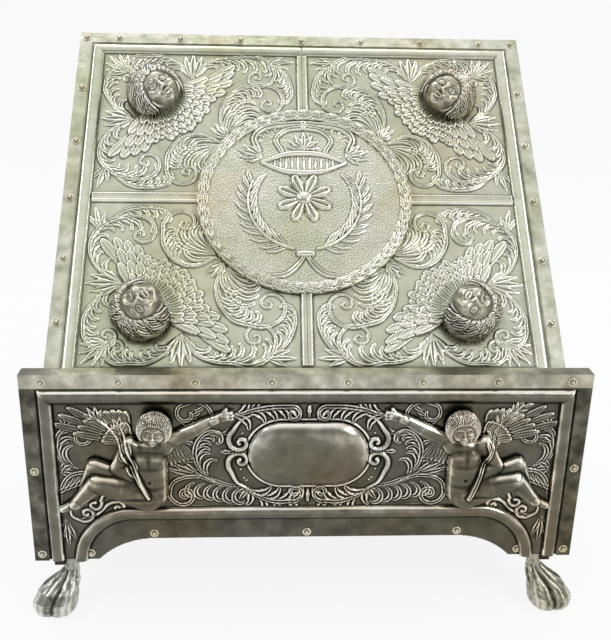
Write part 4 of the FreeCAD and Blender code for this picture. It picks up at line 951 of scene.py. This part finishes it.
def outer_relief(f):
    """Leaf scrolls between the figure and the side, and in the leg."""
    curve = volute([(140, 61), (148, 57), (151, 48), (149.5, 38), (142, 31)], (136.5, 40), -1.35, 1.3)
    f.fronds(curve, 0.02, 0.6, 7, (10, 10), 26, 100, 4.6, 1.8, hook=2)
    f.fronds(curve, 0.0, 0.5, 6, (20, 14), -16, -125, 5.2, 1.9, hook=2)
    f.stroke(curve, 4.0, 2.0, start=0.5, end=0.7, ridges=2)
    f.fan((150, 62), 190, 90, (7, 9, 9, 7), 4.8, 1.8)
    f.stroke(smooth([(134, 63), (144, 65.5), (150, 74), (150.5, 86)]), 3.8, 1.8, end=0.4, ridges=2)
    for k in range(4):
        f.lobe(curl((135 + 3.4 * k, 63.5 + 1.5 * k), 70, 15, -85, hook=2), 4.8, 1.8)
    long_curl = volute([(140, 96), (130, 93), (122, 85.5), (116, 84)], (116.5, 88.5), -1.1, 1)
    f.stroke(long_curl, 3.4, 1.8, start=0.5)
    f.stroke(volute([(112, 80), (124, 79), (127, 83)], (131, 86), -0.9, 1.4), 3.2, 1.8, start=0.4)
    f.stroke(volute([(146, 88), (145, 94), (139, 97.5)], (136, 92), 1.1, 1.2), 3.4, 1.8, start=0.5)
    f.fan((149, 96), 84, 50, (18, 22, 21, 17), 5.0, 1.8)
    for row, (inner, outer, width) in enumerate(((14, 30, 5.0), (9, 22, 5.0), (5, 15, 4.6))):
        for k in range(9):
            aim = ray(-84 + 8.5 * k + 4 * row)
            reach = outer + (2.4 - 0.7 * row) * k * (1 if row < 2 else 0.4)
            tip = SHOULDER + reach * aim
            if tip[1] > 19:
                f.feather(SHOULDER + inner * aim, tip, width, 0.4 + 0.5 * row, 1.0)


def front_half():
    """Height map of the front's right half: edge, beads, ornament and arch; t is down from the top edge."""
    f = Relief((0, 0), (FRONT_HALF, FRONT_TALL), 0.45)
    plume_relief(f)
    outer_relief(f)
    cartouche_relief(f)
    x, t = f.grid()
    waves, ripple = noise(f.h.shape, 14, 71), noise(f.h.shape, 5, 72)
    frame_line = np.minimum(FRONT_HALF - FRAME_INSET - x, t - FRAME_INSET)
    bend = np.hypot(np.maximum(x - ARCH_BEND, 0), np.maximum(FRONT_TALL - t, 0))
    arch_line = np.where(x > ARCH_BEND, bend - ARCH_ROUND, ARCH_T - t)
    inside = np.minimum(frame_line, arch_line) - BEAD / 2
    h = f.h * smoothstep(0, 1.2, inside) - 0.5 * smoothstep(0, 1.5, inside)
    h += 0.25 * waves * smoothstep(0, 5, inside)
    for line in (frame_line, arch_line):
        bead = half_round(np.abs(line + 0.35 * waves), BEAD, BEAD_HEIGHT)
        h = np.maximum(h, bead * (1 + 0.16 * waves + 0.1 * ripple))
    away = np.hypot(np.maximum(np.abs(x) - BOSS_FLAT, 0), t - BOSS_T) - BOSS_ROUND
    ring = 0.9 * half_circle((away - 1.4) / 0.9)
    h = np.maximum(np.where(away < 0, 0, h), ring)
    drop = np.sqrt(np.clip(EDGE_ROUND ** 2 - np.maximum(x - EDGE_BEND, 0) ** 2, 0, None))
    edge = np.where(x > LEG_X, FRONT_TALL, EDGE_T + EDGE_ROUND - drop)
    keep = (t < edge) & (x < FRONT_HALF - 0.2) & (t > 0.2)
    return f, h, keep


def wear_and_top_light_of(h, step):
    """Wear and painted light of an upright surface: its upper slopes painted lighter, its lower ones
    painted darker, as if lit from above.
    """
    slope = np.gradient(blurred(h, 1), step, axis=0)
    return np.clip(wear_and_light_of(h, step, 0.04) + 0.2 * np.clip(slope, -1, 1), 0, 1)


def front_panels():
    """Both halves of the embossed front."""
    f, h, keep = front_half()
    x, t = f.grid()
    # Upper slopes painted lighter and lower ones painted darker.
    wear_and_light = wear_and_top_light_of(h, f.step)
    for seed, (name, side) in enumerate((("left", -1), ("right", 1))):
        dent = 0.3 * noise(h.shape, 20, 81 + seed)
        points = np.stack((side * x, t, SHEET + h + dent * smoothstep(0, 12, x)), -1)
        piece = surface(f"front_panel_{name}", FRONT, points, 0.05, wear_and_light, keep, flip=side > 0)
        dressed(piece, front_silver, "front_silver", "front_sheet", "cartouche_frame")


def boss():
    """Bare oval boss: a smooth pillow with a rolled rim."""
    f = Relief((-38, 29), (38, 73.2), 0.35)
    x, t = f.grid()
    away = np.hypot(np.maximum(np.abs(x) - BOSS_FLAT, 0), t - BOSS_T) / BOSS_ROUND
    h = BOSS_TALL * np.clip(1 - np.clip(away, 0, 1) ** 3.2, 0, 1) ** 0.55
    h += 0.5 * noise(h.shape, 22, 91) + 0.12 * noise(h.shape, 7, 92)
    # Upper slopes painted lighter and lower ones painted darker; a little lighter overall, with random
    # spots.
    wear_and_light = wear_and_top_light_of(h, f.step) + 0.08 + 0.16 * noise(h.shape, 16, 93)
    points = np.stack((x, t, SHEET + h), -1)
    piece = surface("cartouche_pillow", FRONT, points, SHEET, wear_and_light, away < 1, flip=True)
    dressed(piece, front_silver, "front_silver", "cartouche_boss")


# Each limb is a run of (x, t, level of its middle, radius).
FIGURE = (
    ((95, 48, 1.2, 8.0), (95.6, 54, 2.0, 10.6), (95, 62, 2.6, 10.2), (95.5, 77, 2.0, 10.2)),
    ((87, 45, 2.2, 5.2), (82, 40.5, 2.6, 4.9), (68, 33.6, 3.0, 4.3), (56.5, 27.2, 2.4, 3.2)),
    ((56.5, 27.2, 2.4, 3.1), (49.5, 24.8, 2.4, 3.4)),
    ((107, 43.5, 2.6, 5.6), (114.5, 57.5, 3.6, 4.6), (101, 73, 6.5, 3.3)),
    ((101, 73, 6.5, 3.2), (96.5, 76.5, 7.0, 3.4)),
    ((98, 79, 3.6, 9.0), (113, 72, 5.4, 8.0), (127.5, 68, 6.2, 6.0), (141.5, 83.5, 3.6, 3.6)),
    ((141.5, 83.5, 3.4, 3.2), (149.5, 88, 2.0, 2.6)),
    ((102, 72, 1.2, 7.5), (129, 58.5, 2.4, 5.4), (134, 69.5, 1.6, 4.2)),
    ((93, 38, 1.0, 4.2), (94.5, 46, 1.6, 5.6)),
    ((86, 45.5, 2.2, 5.4), (96, 47.5, 2.4, 6.4), (107, 45, 2.6, 6.0)),
)
FINGERS = (
    ((49.8, 23.4, 3.6, 1.3), (46.4, 22.6, 3.2, 1.0)), ((49.2, 24.8, 3.8, 1.3), (45.6, 24.6, 3.2, 1.0)),
    ((49.2, 26.4, 3.6, 1.3), (46.0, 26.8, 3.0, 1.0)), ((51.5, 23, 3.2, 1.2), (49.6, 20.6, 2.6, 1.0)),
    ((97.5, 74.6, 9.2, 1.2), (92.8, 74.2, 8.4, 0.9)), ((97.2, 76.4, 9.4, 1.2), (92.2, 76.4, 8.4, 0.9)),
    ((97, 78.2, 9.2, 1.2), (92.6, 78.8, 8.2, 0.9)), ((98, 80, 8.8, 1.1), (94, 81, 7.8, 0.9)),
    ((148.6, 86.6, 2.6, 1.2), (151.2, 87.4, 1.8, 0.9)), ((149, 88.4, 2.4, 1.1), (151.4, 89.4, 1.6, 0.8)),
)
# Soft forms of the body as (place, spread, height): navel, breast, folds and knee.
BODY_FORMS = (((95.4, 65.5), (1.0, 1.0), -0.6), ((90.5, 50), (4, 3.2), 0.7), ((101, 50), (4, 3.2), 0.7),
              ((95.5, 51), (1.6, 5), -0.4), ((95, 70.5), (9, 1.8), -0.5), ((105, 77), (9, 1.4), -0.6),
              ((127, 67), (3, 3), 0.5), ((95, 57), (8, 1.6), -0.35))
LIMB_SKIRT = 5.0
FIGURE_FIELD = ((40, 14), (153, 96), 0.36)
# Place of the figure's head on the front, its lean in degrees and its scale.
FIGURE_HEAD = (92, 32.5)
FIGURE_LEAN = 6
FIGURE_SCALE = 0.58


def limb_height(f, joints):
    """Level of a rounded limb over each cell, falling away steeply outside it."""
    x, t = f.grid()
    level = np.full(x.shape, -60.0)
    for (x0, t0, z0, r0), (x1, t1, z1, r1) in zip(joints, joints[1:]):
        span = (x1 - x0) ** 2 + (t1 - t0) ** 2
        share = np.clip(((x - x0) * (x1 - x0) + (t - t0) * (t1 - t0)) / span, 0, 1)
        d = np.hypot(x - x0 - share * (x1 - x0), t - t0 - share * (t1 - t0))
        radius, middle = r0 + share * (r1 - r0), z0 + share * (z1 - z0)
        round_top = middle + np.sqrt(np.clip(radius ** 2 - d ** 2, 0, None)) * 0.82
        level = np.maximum(level, np.where(d < radius, round_top, middle - (d - radius) * LIMB_SKIRT))
    return level


def soft_max(levels, softness):
    """Highest of several levels, blended where they meet."""
    top = np.max(levels, 0)
    return top + softness * np.log(sum(np.exp((level - top) / softness) for level in levels))


def figure(name, side, shape):
    """Seated winged child with a plant in its hand, as relief on the front."""
    f = Relief(*FIGURE_FIELD)
    x, t = f.grid()
    body = soft_max([limb_height(f, joints) for joints in FIGURE], 1.3)
    body = np.maximum(body, np.max([limb_height(f, joints) for joints in FINGERS], 0))
    body += sum(bump(x, t, *form) for form in BODY_FORMS)
    plant = Relief(*FIGURE_FIELD)
    (lilies if side < 0 else palm)(plant)
    laid = blurred(np.clip(body, 0, None), 4) + plant.h + 0.5
    h = np.where(plant.h > 0.12, np.maximum(body, laid), body)
    # Upper slopes painted lighter and lower ones painted darker; a little darker overall, with random
    # spots.
    wear_and_light = wear_and_top_light_of(np.clip(h, -1, None), f.step) - 0.06 + 0.08 * noise(h.shape, 14, 95)
    points = np.stack((side * x, t, SHEET + h), -1)
    piece = surface(f"figure_{name}", FRONT, points, SHEET - 0.6, wear_and_light, h > 0.3, flip=side > 0)
    dressed(piece, front_silver, "front_silver", f"putto_{name}")
    middle = (side * FIGURE_HEAD[0], FRONT_LOW[1] - SHEET - 2, FRONT_HIGH[2] - FIGURE_HEAD[1])
    upright = Place(middle, (1, 0, 0), (0, 0, 1), (0, -1, 0))
    head = upright.moved(0, 0, 0, side * FIGURE_LEAN, FIGURE_SCALE)
    # The head is painted brighter as a painted highlight.
    set_head(f"figure_head_{name}", shape, head, front_silver, "front_silver", f"putto_{name}", painted_highlight=0.17)


def lilies(f):
    """Two lilies on long stalks."""
    tall = [(96, 75), (104, 62), (112, 47), (117, 36), (128, 25)]
    short = [(97, 73), (104, 58), (109, 42), (113, 31)]
    for points in (tall, short):
        stalk = smooth(points)
        f.fronds(stalk, 0.2, 0.75, 4, (10, 9), 22, -25, 3.0, 1.2)
        f.fronds(stalk, 0.3, 0.8, 3, (9, 8), -22, 25, 3.0, 1.2)
        f.stroke(stalk, 2.4, 1.9, start=1, end=0.8)
    f.fan((125, 29), -55, 80, (8, 10, 11, 10, 8), 4.4, 2.2, bend=24)
    f.fan((112.5, 35), -75, 70, (7, 9, 9, 7), 4.4, 2.2, bend=22)


def palm(f):
    """Palm branch with a feathery head."""
    stalk = smooth([(98, 77), (105, 62), (111, 46), (115, 34), (121, 27), (129, 19)])
    f.fronds(stalk, 0.45, 1.0, 11, (10, 7), 30, 10, 2.8, 1.5)
    f.fronds(stalk, 0.45, 1.0, 11, (10, 7), -30, -10, 2.8, 1.5)
    f.stroke(stalk, 3.4, 2.0, start=1, end=0.5, ridges=2)


# Nails and feet

NAIL_SIDES = 18
NAIL_TALL = 1.5
FOOT_TALL = 34.0
FOOT_X = 148.0
FOOT_IN = 5.0
# Radius of a paw, and how far its middle lies outwards, by height.
PAW_RADIUS = ((0, 1.5, 5, 10, 15, 19, 22, 25, 30, 34),
              (9.6, 12.2, 13.6, 13.6, 11.6, 8.6, 6.2, 4.6, 3.7, 4.0))
PAW_SHIFT = ((0, 8, 15, 21, 26, 34), (12.0, 12.0, 9.0, 4.2, 1.0, 0.0))


def clusters(points, reach):
    """Middles of groups of points that lie within reach of one another."""
    middles = []
    left = np.asarray(points)
    while len(left):
        near = np.hypot(*(left[:, :2] - left[0, :2]).T) < reach
        middles.append((left[near].min(0) + left[near].max(0)) / 2)
        left = left[~near]
    return np.array(middles)


def nail_profile():
    """Radius, level and painted light up a nail: its ring painted bright, a groove painted dark, then its
    dome painted lighter towards its top.
    """
    ring = [(2.75, -0.3, 0.3), (2.8, 0.3, 0.6), (2.5, 0.62, 0.85), (2.05, 0.62, 0.75), (1.75, 0.3, 0.1)]
    turns = [(k, math.pi / 2 * k / 5.5) for k in range(1, 6)]
    dome = [(1.7 * math.cos(turn), 0.4 + 1.3 * math.sin(turn), 0.28 + 0.09 * k) for k, turn in turns]
    return np.array(ring + dome).T


def nail_heads(name, node, place):
    """Domed nail heads on rings where a node's nails are."""
    solid = frame["nodes"][node].data
    corners = np.zeros(len(solid.vertices) * 3)
    solid.vertices.foreach_get("co", corners)
    local = (corners.reshape(-1, 3) / MM - place.origin) @ place.axes.T
    radius, level, painted_nail_light = nail_profile()[:, :, None]
    turn = np.linspace(0, 2 * math.pi, NAIL_SIDES, endpoint=False)
    nail = np.stack(np.broadcast_arrays(radius * np.cos(turn), radius * np.sin(turn), level), -1)
    index = np.arange(nail.size // 3).reshape(nail.shape[:2])
    beside = np.roll(index, -1, 1)
    sides = np.stack((index[:-1], beside[:-1], beside[1:], index[1:]), -1).reshape(-1, 4).tolist()
    ends = [index[-1].tolist(), index[0, ::-1].tolist()]
    middles = clusters(local, 5)
    verts, faces = [], []
    for middle in middles:
        top = local[np.hypot(*(local[:, :2] - middle[:2]).T) < 3, 2].max()
        faces += [[len(verts) * nail.size // 3 + i for i in face] for face in sides + ends]
        verts.append(nail + (middle[0], middle[1], top - NAIL_TALL))
    if np.linalg.det(place.axes) < 0:
        faces = [face[::-1] for face in faces]
    mesh = bpy.data.meshes.new(name)
    mesh.from_pydata(place(np.reshape(verts, (-1, 3))).tolist(), [], faces)
    mesh.polygons.foreach_set("use_smooth", np.ones(len(faces), bool))
    set_wear_and_light(mesh, np.tile(np.repeat(painted_nail_light, NAIL_SIDES), len(middles)))
    dressed(new_piece(name, mesh), brass, "nail_brass", node)


def paw(name, middle, outward):
    """Cast paw: slender neck with a leafy collar, and five round ridged toes spread outwards."""
    rows, cols = 130, 220
    z = FOOT_TALL * (1 - np.linspace(0, 1, rows)[:, None])
    turn = np.linspace(-math.pi, math.pi, cols, endpoint=False)[None]
    radius, shift = np.interp(z, *PAW_RADIUS), np.interp(z, *PAW_SHIFT)
    low = 1 - smoothstep(15, 22, z)
    front = smoothstep(-0.5, 0.2, np.cos(turn))
    toes = np.abs(np.cos(turn * 2.2))
    grain = noise((rows, cols), 2, 7)
    collar = smoothstep(14, 18, z) * (1 - smoothstep(23, 27, z))
    ridges = 0.22 * np.cos(turn * 20 + 1.5 * grain) * low * front
    extra = low * front * (2.6 * toes ** 0.7 - 1.6) + ridges + 0.15 * grain
    extra += collar * (0.8 * np.cos(turn * 9 + 0.2 * z) + 0.5 * grain)
    reach = radius * (1 + 0.12 * low * np.cos(turn)) + extra
    along, beside = shift + reach * np.cos(turn), reach * np.sin(turn)
    c, s = math.cos(outward), math.sin(outward)
    points = np.stack((middle[0] + along * c - beside * s, middle[1] + along * s + beside * c,
                       np.broadcast_to(z, along.shape)), -1)
    # Rubbed ridges and toes with painted highlights, painted shade between the toes, and random spots.
    wear_and_light = np.clip(0.5 + 0.2 * extra + 0.4 * ridges + 0.2 * grain, 0, 1)
    chart = np.stack(np.broadcast_arrays(turn * 12, z), -1)
    stand = Place((0, 0, 0), (1, 0, 0), (0, 1, 0), (0, 0, 1))
    piece = surface(name, stand, points, None, wear_and_light, flip=True, wrap=(False, True), chart=chart)
    dressed(piece, cast_silver, "cast_silver", name.replace("_paw", "_foot"))


def feet():
    """Four paws under the corners."""
    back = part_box("back_board")[1][1] / MM
    for end, rise, y in (("front", -1, FRONT_LOW[1] + FOOT_IN), ("rear", 1, back - FOOT_IN)):
        for side, hand in (("left", -1), ("right", 1)):
            paw(f"{end}_{side}_paw", (hand * FOOT_X, y), math.atan2(0.8 * rise, hand))


STRIP_ROUNDING = 0.5


def solid_look(node):
    """Material of a solid that shows."""
    if node.endswith(("_board", "_block")):
        return dark_wood
    if node.startswith("desk_strip"):
        return strip_silver
    return edge_silver if node == "front_strip_top" else side_silver


def dress_solids():
    """Give the solids that show their materials, and the strips rounded edges."""
    for node, piece in frame["nodes"].items():
        if piece.hide_render:
            continue
        piece.data.materials.clear()
        piece.data.materials.append(solid_look(node))
        if "strip" in node:
            rounding = piece.modifiers.new("rounding", "BEVEL")
            rounding.width = STRIP_ROUNDING * MM
            rounding.segments = 2
            rounding.angle_limit = math.radians(40)


desk_quarters()
roundel()
wreath()
cherub_heads()
front_panels()
boss()
figure("left", -1, head_shape(-30, 30, painted_shade=0.0, combed=True))
figure("right", 1, head_shape(-40, 34, painted_shade=0.0, combed=True))
nail_heads("desk_nail_heads", "desk_nails", DESK)
nail_heads("front_nail_heads", "front_nails", FRONT)
for name, outward in (("left", -1), ("right", 1)):
    beside = Place((0, 0, 0), (0, outward, 0), (0, 0, 1), (outward, 0, 0))
    nail_heads(f"{name}_side_nail_heads", f"{name}_side_nails", beside)
feet()
dress_solids()


# Floor, light and camera

FLOOR_HALF = 40
FLOOR_GLOW = 0.88
# Brightness of the surroundings by height, from the horizon to the zenith.
SKY_LEVELS = ((0.0, 0.95), (0.10, 0.85), (0.30, 0.36), (0.55, 0.34), (0.80, 0.72), (0.95, 1.0))
PANEL_SHIFT = 0.35
# Place of the eye in millimetres, its yaw, tilt up from straight down and roll in degrees, and its lens.
EYE = (-28.87, -583.1, 371.7)
EYE_TURNS = ((-3.010, "Z"), (69.891, "X"), (1.157, "Z"))
FOCAL_PIXELS = 894.25
PICTURE_TALL = 640
SENSOR = 36


def floor():
    """Pale floor under the stand: seen nearly white, with the stand's soft shadow."""
    mesh = bpy.data.meshes.new("floor")
    corners = [(x * FLOOR_HALF, y * FLOOR_HALF, 0) for x, y in ((-1, -1), (1, -1), (1, 1), (-1, 1))]
    mesh.from_pydata(corners, [], [(0, 1, 2, 3)])
    material, graph, shader = new_look("floor")
    shader.inputs["Base Color"].default_value = (0.92, 0.92, 0.92, 1)
    shader.inputs["Roughness"].default_value = 0.9
    seen = graph.add("LightPath").outputs
    rays = graph.math("ADD", seen["Is Camera Ray"], seen["Is Glossy Ray"])
    rays = graph.math("ADD", rays, seen["Is Transmission Ray"])
    glow = graph.add("Emission", Strength=1.0)
    both = graph.add("MixShader")
    graph.link(graph.math("MULTIPLY", rays, FLOOR_GLOW), both.inputs["Fac"])
    graph.link(shader.outputs["BSDF"], both.inputs[1])
    graph.link(glow.outputs["Emission"], both.inputs[2])
    graph.link(both.outputs["Shader"], graph.nodes["Material Output"].inputs["Surface"])
    mesh.materials.append(material)
    placed("floor", mesh)


def lamp(name, place, target, size, power):
    """Soft rectangular lamp aimed at a point; metres and watts."""
    data = bpy.data.lights.new(name, "AREA")
    data.energy = power
    data.shape = "RECTANGLE"
    data.size, data.size_y = size
    back = (Vector(place) - Vector(target)).normalized()
    right = Vector((0, 1, 0.01)).cross(back).normalized()
    turn = Matrix((right, back.cross(right), back)).transposed().to_4x4()
    placed(name, data).matrix_world = Matrix.Translation(place) @ turn


def world():
    """Studio light: pale at the horizon, dimmer walls and a bright ceiling, with uneven edges."""
    studio = bpy.data.worlds.new("studio")
    graph = Graph(studio)
    where = graph.add("TexCoord").outputs["Generated"]
    parts = graph.add("SeparateXYZ")
    graph.link(where, parts.inputs["Vector"])
    panels = graph.add("TexNoise", Scale=2.2, Detail=1)
    graph.link(where, panels.inputs["Vector"])
    shift = graph.math("MULTIPLY_ADD", panels.outputs["Fac"], PANEL_SHIFT, -PANEL_SHIFT / 2)
    height = graph.math("ADD", parts.outputs["Z"], shift)
    back = graph.nodes["Background"]
    graph.link(graph.ramp(height, [(at, (level,) * 3) for at, level in SKY_LEVELS]), back.inputs["Color"])
    back.inputs["Strength"].default_value = 1.0
    bpy.context.scene.world = studio


def camera():
    """Camera at the photograph's viewing angle."""
    data = bpy.data.cameras.new("camera")
    data.sensor_width = SENSOR
    data.lens = FOCAL_PIXELS * SENSOR / PICTURE_TALL
    data.clip_start = 0.01
    pose = Matrix.Translation(Vector(EYE) * MM)
    for angle, axis in EYE_TURNS:
        pose = pose @ Matrix.Rotation(math.radians(angle), 4, axis)
    eye = placed("camera", data)
    eye.matrix_world = pose
    bpy.context.scene.camera = eye


floor()
world()
camera()
lamp("key", (-0.1, 0.45, 1.3), (0, 0.1, 0.2), (0.9, 0.4), 2.6)
for name, side in (("left", -1), ("right", 1)):
    lamp(f"{name}_strip", (side * 0.85, 0.0, 0.95), (0, 0.1, 0.2), (0.12, 1.0), 1.8)
lamp("fill", (0.9, -0.9, 0.9), (0, 0, 0.15), (0.6, 0.6), 3.5)
bpy.context.scene.view_settings.view_transform = "Standard"
